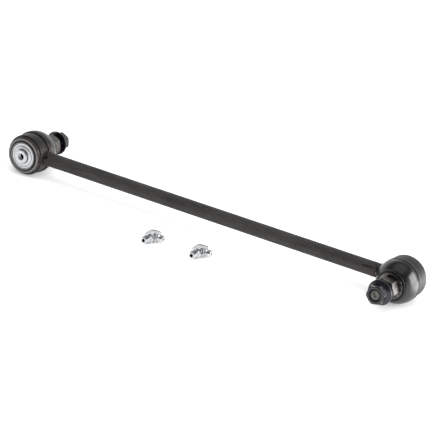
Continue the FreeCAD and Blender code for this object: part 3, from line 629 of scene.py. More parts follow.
def phosphated_housing(colours, joint, half_span):
    """Turned and phosphated steel: dark grey with fine rings from the lathe; the nose's rounded edge is
    streaked brown where the coating is thin."""
    material, tree, where = start_material("phosphated_turned_steel")
    centred, reach, radius = round_joint(tree, where, half_span)
    rings = add(tree, "ShaderNodeTexNoise", {
        "Vector": add(tree, "ShaderNodeCombineXYZ", {"X": radius, "Y": reach}).outputs[0],
        "Scale": per(0.55), "Detail": 2.0}).outputs["Fac"]
    blotch = speckle(tree, where, 6.0, 5.0, 0.62)
    streak = speckle(tree, where, 1.6, 3.0, 0.6, (1, 0.25, 1))
    dark = add(tree, "ShaderNodeValToRGB", {"Fac": blotch}, [
        (0.32, shade(colours.phosphate, 0.7)), (0.7, shade(colours.phosphate, 1.3))]).outputs["Color"]
    worn = add(tree, "ShaderNodeValToRGB", {"Fac": streak}, [
        (0.33, shade(colours.heat, 0.4)), (0.5, colours.heat[:]),
        (0.68, shade(colours.heat, 2.1))]).outputs["Color"]
    nose = add(tree, "ShaderNodeMapRange", {
        "Value": reach, "From Min": joint.nose_step_reach - mm(1.4), "From Max": joint.nose_edge_reach})
    welded = add(tree, "ShaderNodeMapRange", {
        "Value": centred, "From Min": -joint.body_dia * 0.36, "From Max": -joint.body_dia / 2}).outputs[0]
    worn_part = add(tree, "ShaderNodeMath", {
        0: nose.outputs["Result"], 1: welded}, operation="MAXIMUM").outputs[0]
    worn_part = add(tree, "ShaderNodeMath", {0: worn_part, 1: 0.6}, operation="MULTIPLY").outputs[0]
    base = add(tree, "ShaderNodeMix", {0: worn_part, 6: dark, 7: worn}, data_type="RGBA").outputs[2]
    lip = add(tree, "ShaderNodeMapRange", {
        "Value": reach, "From Min": joint.annulus_reach + mm(0.15),
        "From Max": joint.annulus_reach + mm(0.5)})
    base = add(tree, "ShaderNodeMix", {
        0: lip.outputs["Result"], 6: base, 7: (*shade(colours.zinc, 0.5), 1)}, data_type="RGBA").outputs[2]
    lip_foot = joint.plate_dia / 2 - joint.lip_overlap + joint.lip_wall
    # painted shade: dark rings at the lip's foot and at the bottom of the turned groove
    base = painted_rings(tree, base, radius, [
        (lip_foot + mm(0.5), mm(0.9)), (joint.body_dia / 2 - joint.groove_depth, mm(0.5))])
    # painted highlight: a light line round the annulus's outer edge
    annulus_highlight = (joint.annulus_dia / 2 + mm(0.5), mm(0.9))
    base = painted_rings(tree, base, radius, [annulus_highlight], shade(colours.zinc, 0.5), 0.7)
    close_material(tree, base, rings, (0.34, 0.5), rings, mm(0.03), {"Metallic": 0.6})
    return material


def weld_metal(colours):
    """Weld metal and its scale: brown and grey with bright specks where the spatter was brushed."""
    material, tree, where = start_material("heat_tinted_weld")
    ripple = speckle(tree, where, 1.3, 4.0, 0.6)
    base = add(tree, "ShaderNodeValToRGB", {"Fac": ripple}, [
        (0.36, shade(colours.heat, 0.2)), (0.58, shade(colours.heat, 0.6)),
        (0.74, shade(colours.zinc, 0.8))]).outputs["Color"]
    close_material(tree, base, ripple, (0.5, 0.28), ripple, mm(0.15), {"Metallic": 0.75})
    return material


def bright_zinc(colours, name, grain_mm, dull, half_span=0.0, rings=(), lift=1.0):
    """Bright zinc plate: a pale mirror, slightly clouded, softened by the pressed or turned steel below, and
    with painted shade in the corners of the pressing."""
    material, tree, where = start_material(name)
    cloud = speckle(tree, where, 4.0, 3.0, 0.5)
    grain = speckle(tree, where, grain_mm, 2.0, 0.5)
    base = add(tree, "ShaderNodeValToRGB", {"Fac": cloud}, [
        (0.3, shade(colours.zinc, lift * 0.84)),
        (0.7, shade(colours.zinc, lift * 1.04))]).outputs["Color"]
    # painted shade: dark rings in the corners of the pressing
    base = painted_rings(tree, base, round_joint(tree, where, half_span)[2], rings)
    close_material(tree, base, grain, (dull - 0.06, dull + 0.06), grain, mm(0.01), {"Metallic": 1.0})
    return material


def moulded_rubber(colours):
    """Smooth moulded neoprene: near black, with a soft gloss and a bloom too fine to see but for its haze."""
    material, tree, where = start_material("moulded_black_rubber")
    bloom = speckle(tree, where, 7.0, 4.0, 0.55)
    skin = speckle(tree, where, 0.5, 2.0, 0.5)
    base = add(tree, "ShaderNodeValToRGB", {"Fac": bloom}, [
        (0.3, shade(colours.rubber, 0.8)), (0.75, shade(colours.rubber, 1.6))]).outputs["Color"]
    close_material(tree, base, bloom, (0.17, 0.27), skin, mm(0.006), {
        "Specular IOR Level": 0.6, "Coat Weight": 0.3, "Coat Roughness": 0.22})
    return material


def machined_steel(colours):
    """Turned and milled steel with a light brown oil film: rings from the lathe and dull flats."""
    material, tree, where = start_material("machined_stud_steel")
    film = speckle(tree, where, 3.5, 5.0, 0.65)
    rings = speckle(tree, where, 0.35, 2.0, 0.5, (0.3, 1, 0.3))
    base = add(tree, "ShaderNodeValToRGB", {"Fac": film}, [
        (0.34, shade(colours.steel, 0.2)), (0.5, shade(colours.steel, 0.42)),
        (0.7, shade(colours.steel, 0.8))]).outputs["Color"]
    close_material(tree, base, film, (0.2, 0.36), rings, mm(0.02), {"Metallic": 1.0})
    return material


def black_zinc_nut(colours):
    """Black zinc plate over cold-formed steel: deep blue-black with a clear gloss."""
    material, tree, where = start_material("black_zinc_plate")
    cloud = speckle(tree, where, 3.0, 4.0, 0.6)
    base = add(tree, "ShaderNodeValToRGB", {"Fac": cloud}, [
        (0.3, shade(colours.black_zinc, 0.8)), (0.7, shade(colours.black_zinc, 1.5))]).outputs["Color"]
    # painted highlight along the nut's sharp edges
    base = painted_edge_highlight(tree, base, shade(colours.zinc, 0.45))
    close_material(tree, base, cloud, (0.18, 0.28), cloud, mm(0.02), {
        "Metallic": 0.75, "Specular IOR Level": 1.0, "Coat Weight": 0.6, "Coat Roughness": 0.12})
    return material


def spring_wire(colours):
    """Oil-tempered spring wire: a dull dark grey with faint marks from drawing."""
    material, tree, where = start_material("oiled_spring_wire")
    drawn = speckle(tree, where, 1.2, 3.0, 0.6)
    base = add(tree, "ShaderNodeValToRGB", {"Fac": drawn}, [
        (0.3, shade(colours.oxide, 0.5)), (0.7, shade(colours.oxide, 1.2))]).outputs["Color"]
    close_material(tree, base, drawn, (0.45, 0.6), drawn, mm(0.02), {"Metallic": 0.7})
    return material


def natural_acetal(colours):
    """Moulded acetal: a waxy ivory plastic with a faint flow pattern."""
    material, tree, where = start_material("natural_acetal")
    flow = speckle(tree, where, 5.0, 3.0, 0.5)
    base = add(tree, "ShaderNodeValToRGB", {"Fac": flow}, [
        (0.3, shade(colours.acetal, 0.93)), (0.7, colours.acetal[:])]).outputs["Color"]
    close_material(tree, base, flow, (0.38, 0.48), flow, mm(0.01), {"Subsurface Weight": 0.1})
    return material


def finish(name):
    """The finished material of that name, made on first use."""
    colours = bpy.context.scene.link_colours
    joint = bpy.context.scene.link_joint
    bar = bpy.context.scene.link_bar
    half_span = joint_place("right").translation.x
    makers = {
        "bar": ("black_oxide_steel_bar",
                lambda: black_oxide_bar(colours, bar, half_span - joint.body_dia / 2)),
        "housing": ("phosphated_turned_steel", lambda: phosphated_housing(colours, joint, half_span)),
        "weld": ("heat_tinted_weld", lambda: weld_metal(colours)),
        "plate": ("bright_zinc_pressing",
                  lambda: bright_zinc(colours, "bright_zinc_pressing", 0.8, 0.34, half_span, (
                      # rings of painted shade at the lip's edge, the step and the boss's foot
                      (joint.plate_dia / 2 - joint.lip_overlap, mm(0.45)),
                      (joint.step_dia / 2, mm(0.35)),
                      (joint.boss_dia / 2 + mm(0.25), mm(0.4))), 1.12)),
        "fitting": ("bright_zinc_turning",
                    lambda: bright_zinc(colours, "bright_zinc_turning", 0.4, 0.22, lift=1.12)),
        "rubber": ("moulded_black_rubber", lambda: moulded_rubber(colours)),
        "clip": ("oiled_spring_wire", lambda: spring_wire(colours)),
        "stud": ("machined_stud_steel", lambda: machined_steel(colours)),
        "nut": ("black_zinc_plate", lambda: black_zinc_nut(colours)),
        "acetal": ("natural_acetal", lambda: natural_acetal(colours)),
    }
    name, make = makers[name]
    return bpy.data.materials.get(name) or make()


def dress(piece, material, body, slot_name, *nodes):
    """Give a piece its finish, its body and the nodes that it stands for; a piece given no body is left
    unattached.
    """
    piece.data.materials.clear()
    piece.data.materials.append(finish(material))
    if body:
        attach(piece, body)
    if nodes:
        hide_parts(*nodes)


def refinish(node, material):
    """Give a node that keeps its own shape a better material."""
    piece = frame["nodes"][node]
    for slot in piece.material_slots:
        slot.material = finish(material)


def droplet_tree(material):
    """Geometry Nodes that strew round droplets over a surface."""
    tree = bpy.data.node_groups.new("weld_droplets", "GeometryNodeTree")
    for name, kind, way in (
            ("Geometry", "NodeSocketGeometry", "INPUT"), ("Density", "NodeSocketFloat", "INPUT"),
            ("Size", "NodeSocketFloat", "INPUT"), ("Seed", "NodeSocketInt", "INPUT"),
            ("Geometry", "NodeSocketGeometry", "OUTPUT")):
        tree.interface.new_socket(name, in_out=way, socket_type=kind)
    given = add(tree, "NodeGroupInput")
    points = add(tree, "GeometryNodeDistributePointsOnFaces", {
        "Mesh": given.outputs["Geometry"], "Density": given.outputs["Density"],
        "Seed": given.outputs["Seed"]})
    ball = add(tree, "GeometryNodeMeshIcoSphere", {"Radius": given.outputs["Size"], "Subdivisions": 2})
    spread = add(tree, "FunctionNodeRandomValue", {2: 0.25, 3: 0.5, "Seed": given.outputs["Seed"]})
    strewn = add(tree, "GeometryNodeInstanceOnPoints", {
        "Points": points.outputs["Points"], "Instance": ball.outputs["Mesh"], "Scale": spread.outputs[1]})
    real = add(tree, "GeometryNodeRealizeInstances", {"Geometry": strewn.outputs["Instances"]})
    coated = add(tree, "GeometryNodeSetMaterial", {
        "Geometry": real.outputs["Geometry"], "Material": material})
    add(tree, "NodeGroupOutput", {"Geometry": coated.outputs["Geometry"]})
    return tree


# ---------------------------------------------------------------------------------------------------
# Operators
# ---------------------------------------------------------------------------------------------------

class LINK_OT_bar(bpy.types.Operator):
    """Make the round bar with its pressed slot and dent, and the two welds"""
    bl_idname = "link.bar"
    bl_label = "Bar and welds"

    def execute(self, context):
        bar = context.scene.link_bar
        joint = context.scene.link_joint
        half_span = joint_place("right").translation.x
        radius = bar.rod_dia / 2

        def cope(turn, r, side):
            """Height of the bar's end at an angle, where it meets the housing's turned outside."""
            across = -r * math.cos(turn)
            sideways = r * math.sin(turn)
            rise = sideways * -SIDES[side]
            housing = joint.flange_dia if rise > joint.groove_rise + joint.groove_width else joint.body_dia
            return half_span - math.sqrt((housing / 2) ** 2 - across ** 2)

        def press(turn, along, middle, span, width, depth, place):
            """How deep a round-ended slot lies at a point of the bar's surface."""
            from_top = math.atan2(-math.sin(turn), -math.cos(turn))
            sideways = (from_top - place) * radius
            beyond = max(abs(along - middle) - (span - width) / 2, 0)
            share = min(math.hypot(beyond, sideways) / (width / 2), 1)
            return depth * math.sqrt(max(1 - share ** 2, 0))

        def surface(turn, along):
            crimp = press(turn, along, half_span - bar.crimp_inset, bar.crimp_length, bar.crimp_width,
                          bar.crimp_depth, bar.crimp_turn)
            dent = press(turn, along, bar.dent_inset - half_span, bar.dent_length, bar.dent_width,
                         bar.dent_depth, bar.dent_turn)
            return radius - crimp - dent

        pressed = [
            (bar.dent_inset - half_span, bar.dent_length), (half_span - bar.crimp_inset, bar.crimp_length)]
        reach = half_span - joint.flange_dia / 2 - mm(1)
        inner = [-reach + 2 * reach * step / BAR_STATIONS for step in range(BAR_STATIONS + 1)]
        for middle, span in pressed:
            fine = round(span / mm(0.5)) + 4
            inner += [middle + (step / fine - 0.5) * (span + mm(1)) for step in range(fine + 1)]
        inner.sort()

        def outline_at(turn):
            low = -cope(turn, radius, "left")
            high = cope(turn, radius, "right")
            end = half_span - joint.body_dia / 2
            wall = [(surface(turn, along), along) for along in inner]
            return [(0, -end), (radius, low)] + wall + [(radius, high), (0, end)]

        rod = spun("round_bar", outline_at, bar_place())
        dress(rod, "bar", "link", "rod_steel", "link_rod")

        for side, sign in SIDES.items():
            def weld_outline(turn, sign=sign, side=side):
                outer = radius + bar.bead_height
                end = cope(turn, outer, side)
                run = []
                steps = 10
                for step in range(steps + 1):
                    share = step / steps
                    along = end - bar.bead_length * share
                    wobble = noise.noise(Vector((math.cos(turn) * 3, math.sin(turn) * 3, share * 4 + sign)))
                    ripple = 1 - WELD_RIPPLE + WELD_RIPPLE * wobble
                    height = bar.bead_height * math.sqrt(1 - share ** 2 * 0.96) * ripple
                    run.append((radius + height, along * sign))
                bottom = radius - mm(0.02)
                return [(bottom, cope(turn, bottom, side) * sign)] + run + [(bottom, run[-1][1])]
            bead = spun(side + "_weld", weld_outline, bar_place())
            dress(bead, "weld", "link", "weld_steel", side + "_weld_bead")
            start = half_span - joint.flange_dia / 2
            spatter = self.make_spatter(bar, side + "_weld_spatter", radius, (
                sign * (start - bar.bead_length - bar.spatter_reach), sign * (start - bar.bead_length)))
            dress(spatter, "weld", "link", "weld_steel")
        return {"FINISHED"}

    def make_spatter(self, bar, name, radius, span):
        """Droplets of weld metal strewn over the bar beside a bead."""
        shape = bmesh.new()
        sides = 48
        around = [2 * math.pi * step / sides for step in range(sides)]
        rows = [[shape.verts.new((radius * math.cos(turn), radius * math.sin(turn), along))
                 for turn in around] for along in span]
        for step in range(sides):
            after = (step + 1) % sides
            shape.faces.new([rows[0][step], rows[0][after], rows[1][after], rows[1][step]])
        carrier = placed(name + "_carrier", shape, bar_place())
        tree = droplet_tree(finish("weld"))
        modifier = carrier.modifiers.new("droplets", "NODES")
        modifier.node_group = tree
        chosen = {
            "Density": bar.spatter_density, "Size": bar.spatter_dia, "Seed": bar.spatter_seed + (span[0] > 0)}
        for socket in tree.interface.items_tree:
            if socket.in_out == "INPUT" and socket.name in chosen:
                modifier[socket.identifier] = chosen[socket.name]
        bpy.context.view_layer.update()
        graph = bpy.context.evaluated_depsgraph_get()
        mesh = bpy.data.meshes.new_from_object(carrier.evaluated_get(graph))
        bpy.data.objects.remove(carrier)
        mesh.name = name
        piece = bpy.data.objects.new(name, mesh)
        bpy.context.scene.collection.objects.link(piece)
        return piece


class LINK_OT_housings(bpy.types.Operator):
    """Make the turned housings and the pressed cover plates"""
    bl_idname = "link.housings"
    bl_label = "Housings and cover plates"

    def execute(self, context):
        joint = context.scene.link_joint
        plate_face = joint.plate_inner_reach + joint.plate_thickness
        lip_inner = joint.plate_dia / 2 - joint.lip_overlap
        shell = softened([
            (lip_inner, -plate_face),
            (lip_inner, -plate_face - joint.lip_height),
            (lip_inner + joint.lip_wall, -plate_face - joint.lip_height),
            (lip_inner + joint.lip_wall, -joint.annulus_reach, mm(0.1)),
            (joint.annulus_dia / 2, -joint.annulus_reach, mm(0.1)),
            ((joint.nose_dia + joint.annulus_dia) / 4 + mm(0.62), -joint.annulus_reach + mm(0.42), mm(0.9)),
            (joint.nose_dia / 2, -joint.nose_edge_reach, mm(0.5)),
            (joint.nose_dia / 2, -joint.nose_step_reach),
            (joint.body_dia / 2, -joint.body_edge_reach, mm(0.4)),
            (joint.body_dia / 2, joint.groove_rise),
            (joint.body_dia / 2 - joint.groove_depth, joint.groove_rise),
            (joint.body_dia / 2 - joint.groove_depth, joint.groove_rise + joint.groove_width),
            (joint.flange_dia / 2, joint.groove_rise + joint.groove_width, mm(0.3)),
            (joint.flange_dia / 2, joint.seat_rise, mm(0.4)),
            (joint.mouth_outer_dia / 2, joint.seat_rise),
            (joint.mouth_dia / 2, joint.chamber_rise),
            (joint.chamber_dia / 2, joint.chamber_rise),
            (joint.chamber_dia / 2, -joint.plate_inner_reach),
            (joint.plate_dia / 2 + joint.fit_gap, -joint.plate_inner_reach),
            (joint.plate_dia / 2 + joint.fit_gap, -plate_face),
        ], mm(0.15))

        crest = joint.port_dia / 2 + joint.port_thread / 2
        root = joint.port_dia / 2 - joint.port_thread / 2
        boss_face = plate_face + joint.boss_height
        cover = softened([
            (crest, -boss_face, mm(0.2)),
            (joint.boss_dia / 2, -boss_face, mm(0.9)),
            (joint.boss_dia / 2, -plate_face - joint.boss_foot_height, mm(0.5)),
            (joint.step_dia / 2 - joint.step_height, -plate_face - joint.step_height, mm(0.3)),
            (joint.step_dia / 2, -plate_face, mm(0.2)),
            (joint.plate_dia / 2, -plate_face),
            (joint.plate_dia / 2, -joint.plate_inner_reach),
            (crest, -joint.plate_inner_reach),
        ], mm(0.15))

        def plate_outline(turn):
            start = -joint.plate_inner_reach - mm(0.25)
            end = -boss_face + mm(0.35)
            return cover + thread(turn, start, end, joint.port_pitch, root, crest)

        for side in SIDES:
            place = joint_place(side)
            housing = spun(side + "_housing_shell", lambda turn: shell, place)
            dress(housing, "housing", "link", "housing_steel", side + "_housing")
            plate = spun(side + "_cover", plate_outline, place)
            dress(plate, "plate", "link", "plate_zinc", side + "_cover_plate")
        return {"FINISHED"}


class LINK_OT_boots(bpy.types.Operator):
    """Make the rubber boots in two parts that meet at a fold, and the rings round their necks"""
    bl_idname = "link.boots"
    bl_label = "Dust boots"

    def execute(self, context):
        boot = context.scene.link_boot
        base = boot.base_rise
        half_ring = mm(0.5)
        foot_band, inner_foot, inner_top = mm(0.7), mm(3.6), mm(2)
        collar_wall, seat_play = mm(0.6), mm(0.3)
        collar_radius = boot.ring_dia / 2 - 2 * half_ring - boot.ring_gap
        shoulder = boot.top_rise - boot.ring_wire - boot.ring_gap
        widest = (boot.widest_dia / 2, base + foot_band)
        top = (boot.shoulder_dia / 2, shoulder)
        dome = [widest] + arc(widest, top, boot.dome_radius, 1, 24) + [top]
        split = boot.split_rise
        lower_outer = [point for point in dome if point[1] < split]
        upper_outer = [point for point in dome if point[1] > split]
        before, after = lower_outer[-1], upper_outer[0]
        share = (split - before[1]) / (after[1] - before[1])
        seam = before[0] + (after[0] - before[0]) * share
        inner_start = (widest[0] - boot.wall, base + inner_foot)
        inner_end = (collar_radius - collar_wall, boot.top_rise - inner_top)
        cavity = arc(inner_start, inner_end, boot.dome_radius - boot.wall, 1, 24)
        lower_inner = [inner_start] + [point for point in cavity if point[1] < split]
        upper_inner = [point for point in cavity if point[1] > split] + [inner_end]
        seam_inner = seam - boot.wall
        seat_radius = context.scene.link_stud.boot_seat_dia / 2 + seat_play
        lower = [(boot.base_dia / 2, base)] + lower_outer + [(seam, split), (seam_inner, split)]
        lower += lower_inner[::-1] + [(inner_start[0], base)]
        upper = [(seam_inner, split), (seam, split)] + upper_outer
        upper += softened([
            (top[0] + mm(0.01), shoulder - mm(0.01)),
            (top[0], shoulder),
            (collar_radius, shoulder),
            (collar_radius, boot.top_rise),
            (seat_radius, boot.top_rise),
            (seat_radius, inner_end[1]),
            (seat_radius + mm(0.5), inner_end[1]),
        ], mm(0.25))[4:-4]
        upper += upper_inner[::-1]
        wire = boot.ring_wire / 2
        ring_middle = (boot.ring_dia / 2 - half_ring, boot.top_rise - wire)
        ring_steps = 12
        ring = []
        for step in range(ring_steps):
            lean = 2 * math.pi * step / ring_steps
            ring.append((ring_middle[0] + half_ring * math.cos(lean), ring_middle[1] + wire * math.sin(lean)))
        for side in SIDES:
            place = joint_place(side)
            swing, clip = side + "_boot", side + "_clip"
            base_part = spun(side + "_boot_base", lambda turn: lower, place)
            dress(base_part, "rubber", None, "boot_rubber", side + "_dust_boot")
            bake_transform(base_part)
            neck_part = spun(side + "_boot_neck", lambda turn: upper, place)
            dress(neck_part, "rubber", None, "boot_rubber", side + "_dust_boot")
            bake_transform(neck_part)
            clip_ring = spun(side + "_neck_ring", lambda turn: ring, place)
            dress(clip_ring, "clip", clip, "ring_steel", side + "_boot_neck_ring")
        return {"FINISHED"}


class LINK_OT_studs(bpy.types.Operator):
    """Make the ball studs and the flange nuts with their threads"""
    bl_idname = "link.studs"
    bl_label = "Studs and flange nuts"

    def execute(self, context):
        sizes = context.scene.link_stud
        flange_face = sizes.flange_rise + sizes.flange_thickness
        collar_face = flange_face + sizes.collar_height
        nut_face = collar_face + sizes.grip_length
        stud_end = nut_face + sizes.thread_length
        nut_top = nut_face + sizes.nut_height
        flat = math.sqrt(sizes.ball_dia ** 2 / 4 - sizes.ball_flat_reach ** 2)
        meeting = math.sqrt(sizes.ball_dia ** 2 / 4 - sizes.neck_dia ** 2 / 4)
        ball_start, ball_end = (flat, -sizes.ball_flat_reach), (sizes.neck_dia / 2, meeting)
        ball = [ball_start] + arc(ball_start, ball_end, sizes.ball_dia / 2, 1, 24) + [ball_end]
        shank = softened([
            (0, 0),
            (sizes.neck_dia / 2, meeting),
            (sizes.neck_dia / 2, sizes.neck_rise, mm(1.5)),
            (sizes.boot_seat_dia / 2, sizes.boot_seat_rise, mm(1)),
            (sizes.boot_seat_dia / 2, sizes.flange_rise),
            (sizes.flange_dia / 2, sizes.flange_rise, mm(0.4)),
            (sizes.flange_dia / 2, flange_face, mm(0.4)),
            (sizes.collar_width / 2, flange_face, mm(0.1)),
            (0, flange_face),
        ], mm(0.2))[5:-1]
        root, crest = sizes.thread_minor_dia / 2, sizes.thread_major_dia / 2
        end_radius = sizes.stud_end_dia / 2
        centre = sizes.stud_centre_dia / 2

        def stud_outline(turn, place_turn):
            around = turn - place_turn
            run = [(0, -sizes.ball_flat_reach)] + ball + shank
            run += hexagon_wall(around, sizes.collar_width, flange_face, collar_face, 0, sizes.collar_chamfer)
            run += [(sizes.grip_dia / 2 + mm(0.3), collar_face), (sizes.grip_dia / 2, collar_face + mm(0.3))]
            run += [(sizes.grip_dia / 2, nut_face - mm(0.8)), (root, nut_face - mm(0.3))]
            run += thread(turn, nut_face - mm(0.2), stud_end - mm(0.3), sizes.thread_pitch, crest, root)
            run += [(end_radius, stud_end - mm(0.06)), (end_radius - mm(0.1), stud_end)]
            run += [(centre, stud_end), (centre / 2, stud_end - centre / 2), (0, stud_end - centre / 2)]
            return run

        gap = sizes.thread_gap
        bore_root = crest + gap
        bore_crest = root + gap
        sink = sizes.nut_sink_dia / 2
        rim_top = nut_face + sizes.nut_flange_rim
        cone_top = rim_top + sizes.nut_flange_cone
        slope = (sizes.nut_flange_dia / 2 - sizes.nut_width / 2) / sizes.nut_flange_cone
        flange = softened([
            (sink, nut_face),
            (sizes.nut_flange_dia / 2 - mm(0.25), nut_face),
            (sizes.nut_flange_dia / 2, nut_face + mm(0.3)),
            (sizes.nut_flange_dia / 2, rim_top),
            (sizes.nut_width / 2, cone_top),
        ], mm(0.22))

        def nut_outline(turn, place_turn):
            around = turn - place_turn
            wall = hexagon_wall(around, sizes.nut_width, cone_top, nut_top, 0, sizes.nut_chamfer)
            foot = cone_top - (wall[0][0] - sizes.nut_width / 2) / slope
            wall = [(wall[0][0], foot), (wall[1][0], foot + mm(0.1))] + wall[2:]
            run = flange[4:-4] + wall + [(sink + mm(0.5), nut_top), (sink, nut_top - SINK_DEPTH)]
            start, end = nut_top - mm(0.75), nut_face + mm(0.75)
            run += thread(turn, start, end, sizes.thread_pitch, bore_crest, bore_root)
            return [(sink + mm(0.4), nut_face)] + run + [(sink, nut_face + SINK_DEPTH)]

        for side in SIDES:
            place = joint_place(side)
            collar_turn = getattr(sizes, side + "_collar_turn")
            nut_turn = getattr(sizes, side + "_nut_turn")
            around = hexagon_turns(collar_turn)
            stud = spun(side + "_stud", lambda turn: stud_outline(turn, collar_turn), place, around)
            dress(stud, "stud", side + "_stud", "stud_steel", side + "_ball_stud")
            around = hexagon_turns(nut_turn)
            nut = spun(side + "_nut", lambda turn: nut_outline(turn, nut_turn), place, around)
            dress(nut, "nut", side + "_nut", "nut_black", side + "_flange_nut")
        return {"FINISHED"}


class LINK_OT_fittings(bpy.types.Operator):
    """Make the loose right-angle grease fittings"""
    bl_idname = "link.fittings"
    bl_label = "Grease fittings"

    def execute(self, context):
        sizes = context.scene.link_fitting
        hex_end = sizes.leg_length - sizes.thread_length
        hex_start = hex_end - sizes.hex_length
        bore = sizes.bore_dia / 2
        root = sizes.thread_minor_dia / 2
        face, neck, head, end = nozzle_reaches()

        def leg_outline(turn):
            run = [(0, hex_start)]
            run += hexagon_wall(
                turn, sizes.hex_width, hex_start, hex_end, sizes.hex_chamfer, sizes.hex_chamfer)
            run += [(root + mm(0.2), hex_end), (root, hex_end + mm(0.3))]
            run += thread(turn, hex_end + mm(0.4), sizes.leg_length - mm(0.3), sizes.thread_pitch,
                          sizes.thread_dia / 2, root)
            run += [(root - mm(0.2), sizes.leg_length), (bore + mm(0.2), sizes.leg_length)]
            run += [(bore, sizes.leg_length - mm(0.2)), (bore, hex_start + mm(0.4)), (0, hex_start + mm(0.4))]
            return run

        mouth_foot = end - sizes.mouth_depth
        nozzle_run = softened([
            (sizes.nozzle_bore_dia / 2, sizes.nozzle_start),
            (sizes.shank_dia / 2, sizes.nozzle_start),
            (sizes.shank_dia / 2, face),
            (sizes.collar_dia / 2, face),
            (sizes.collar_dia / 2, face + sizes.collar_width),
            (sizes.neck_dia / 2, neck),
            (sizes.neck_dia / 2, neck + sizes.neck_length),
            (sizes.nozzle_dia / 2, head),
            (sizes.nozzle_dia / 2, head + sizes.head_length, mm(0.4)),
            (sizes.tip_dia / 2, end, mm(0.3)),
            (sizes.mouth_dia / 2, end),
            (sizes.mouth_dia / 2, mouth_foot),
            (sizes.nozzle_bore_dia / 2, mouth_foot - (sizes.nozzle_bore_dia - sizes.mouth_dia) / 2),
        ], mm(0.18))

        for which in FITTINGS:
            body = "fitting_" + which
            leg = spun(body + "_leg", leg_outline, fitting_place(which), hexagon_turns(0))
            block = self.make_block(sizes, body + "_block", face, fitting_place(which))
            for piece in (leg, block):
                dress(piece, "fitting", body, "fitting_zinc", body + "_elbow")
            nozzle = spun(body + "_nipple", lambda turn: nozzle_run, nozzle_place(which))
            dress(nozzle, "fitting", body, "fitting_zinc", body + "_nozzle")
            refinish(body + "_check_ball", "stud")
            self.make_spring(sizes, which)
        return {"FINISHED"}

    def make_spring(self, sizes, which):
        """The coil spring behind the check ball, drawn at one length; in the real fitting it shortens as the
        ball is pushed in.
        """
        place = nozzle_place(which)
        name = "fitting_" + which
        low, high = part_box(name + "_check_ball")
        ball_back = (place.inverted() @ ((low + high) / 2)).z - (high.z - low.z) / 2
        foot, top = sizes.nozzle_start + sizes.fit_gap, ball_back - sizes.fit_gap
        wire = sizes.coil_wire / 2
        around, sides = 32, 8
        count = sizes.coil_turns * around
        shape = bmesh.new()
        rings = []
        for step in range(count + 1):
            turn = 2 * math.pi * step / around
            height = foot + wire + (top - foot - 2 * wire) * step / count
            ring = []
            for side in range(sides):
                lean = 2 * math.pi * side / sides
                radius = sizes.coil_dia / 2 + wire * math.cos(lean)
                ring.append(shape.verts.new((
                    radius * math.cos(turn), radius * math.sin(turn), height + wire * math.sin(lean))))
            rings.append(ring)
        for here, there in zip(rings, rings[1:]):
            for side in range(sides):
                after = (side + 1) % sides
                shape.faces.new([here[side], here[after], there[after], there[side]])
        shape.faces.new(rings[0])
        shape.faces.new(rings[-1])
        bmesh.ops.recalc_face_normals(shape, faces=shape.faces)
        spring = placed(name + "_coil", shape, place, 40)
        dress(spring, "stud", name, "spring_steel", name + "_check_spring")
        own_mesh(spring)

    def make_block(self, sizes, name, face, place):
        """The flat-sided block with a rounded back that joins leg and nozzle."""
        back = sizes.block_width / 2
        corners = [(face, sizes.block_run), (-back, sizes.block_run), (-back, 0)]
        corners += arc((-back, 0), (0, -back), back, 1, 8) + [(0, -back), (face, -back)]
        shape = bmesh.new()
        outline = [shape.verts.new((x, -back, z)) for x, z in corners]
        sheet = shape.faces.new(outline)
        raised = bmesh.ops.extrude_face_region(shape, geom=[sheet])["geom"]
        moved = [item for item in raised if isinstance(item, bmesh.types.BMVert)]
        bmesh.ops.translate(shape, verts=moved, vec=(0, sizes.block_width, 0))
        bmesh.ops.recalc_face_normals(shape, faces=shape.faces)
        edges = [edge for edge in shape.edges if edge.calc_face_angle() > math.radians(40)]
        bmesh.ops.bevel(shape, geom=edges, offset=sizes.block_edge, segments=3, profile=0.5, affect="EDGES")
        return placed(name, shape, place)


class LINK_OT_inner_parts(bpy.types.Operator):
    """Finish the bearings, springs and rings inside the joints"""
    bl_idname = "link.inner_parts"
    bl_label = "Inner parts"

    def execute(self, context):
        for side in SIDES:
            refinish(side + "_upper_bearing", "acetal")
            refinish(side + "_lower_bearing", "acetal")
            refinish(side + "_preload_spring", "stud")
            refinish(side + "_boot_base_ring", "fitting")
        return {"FINISHED"}


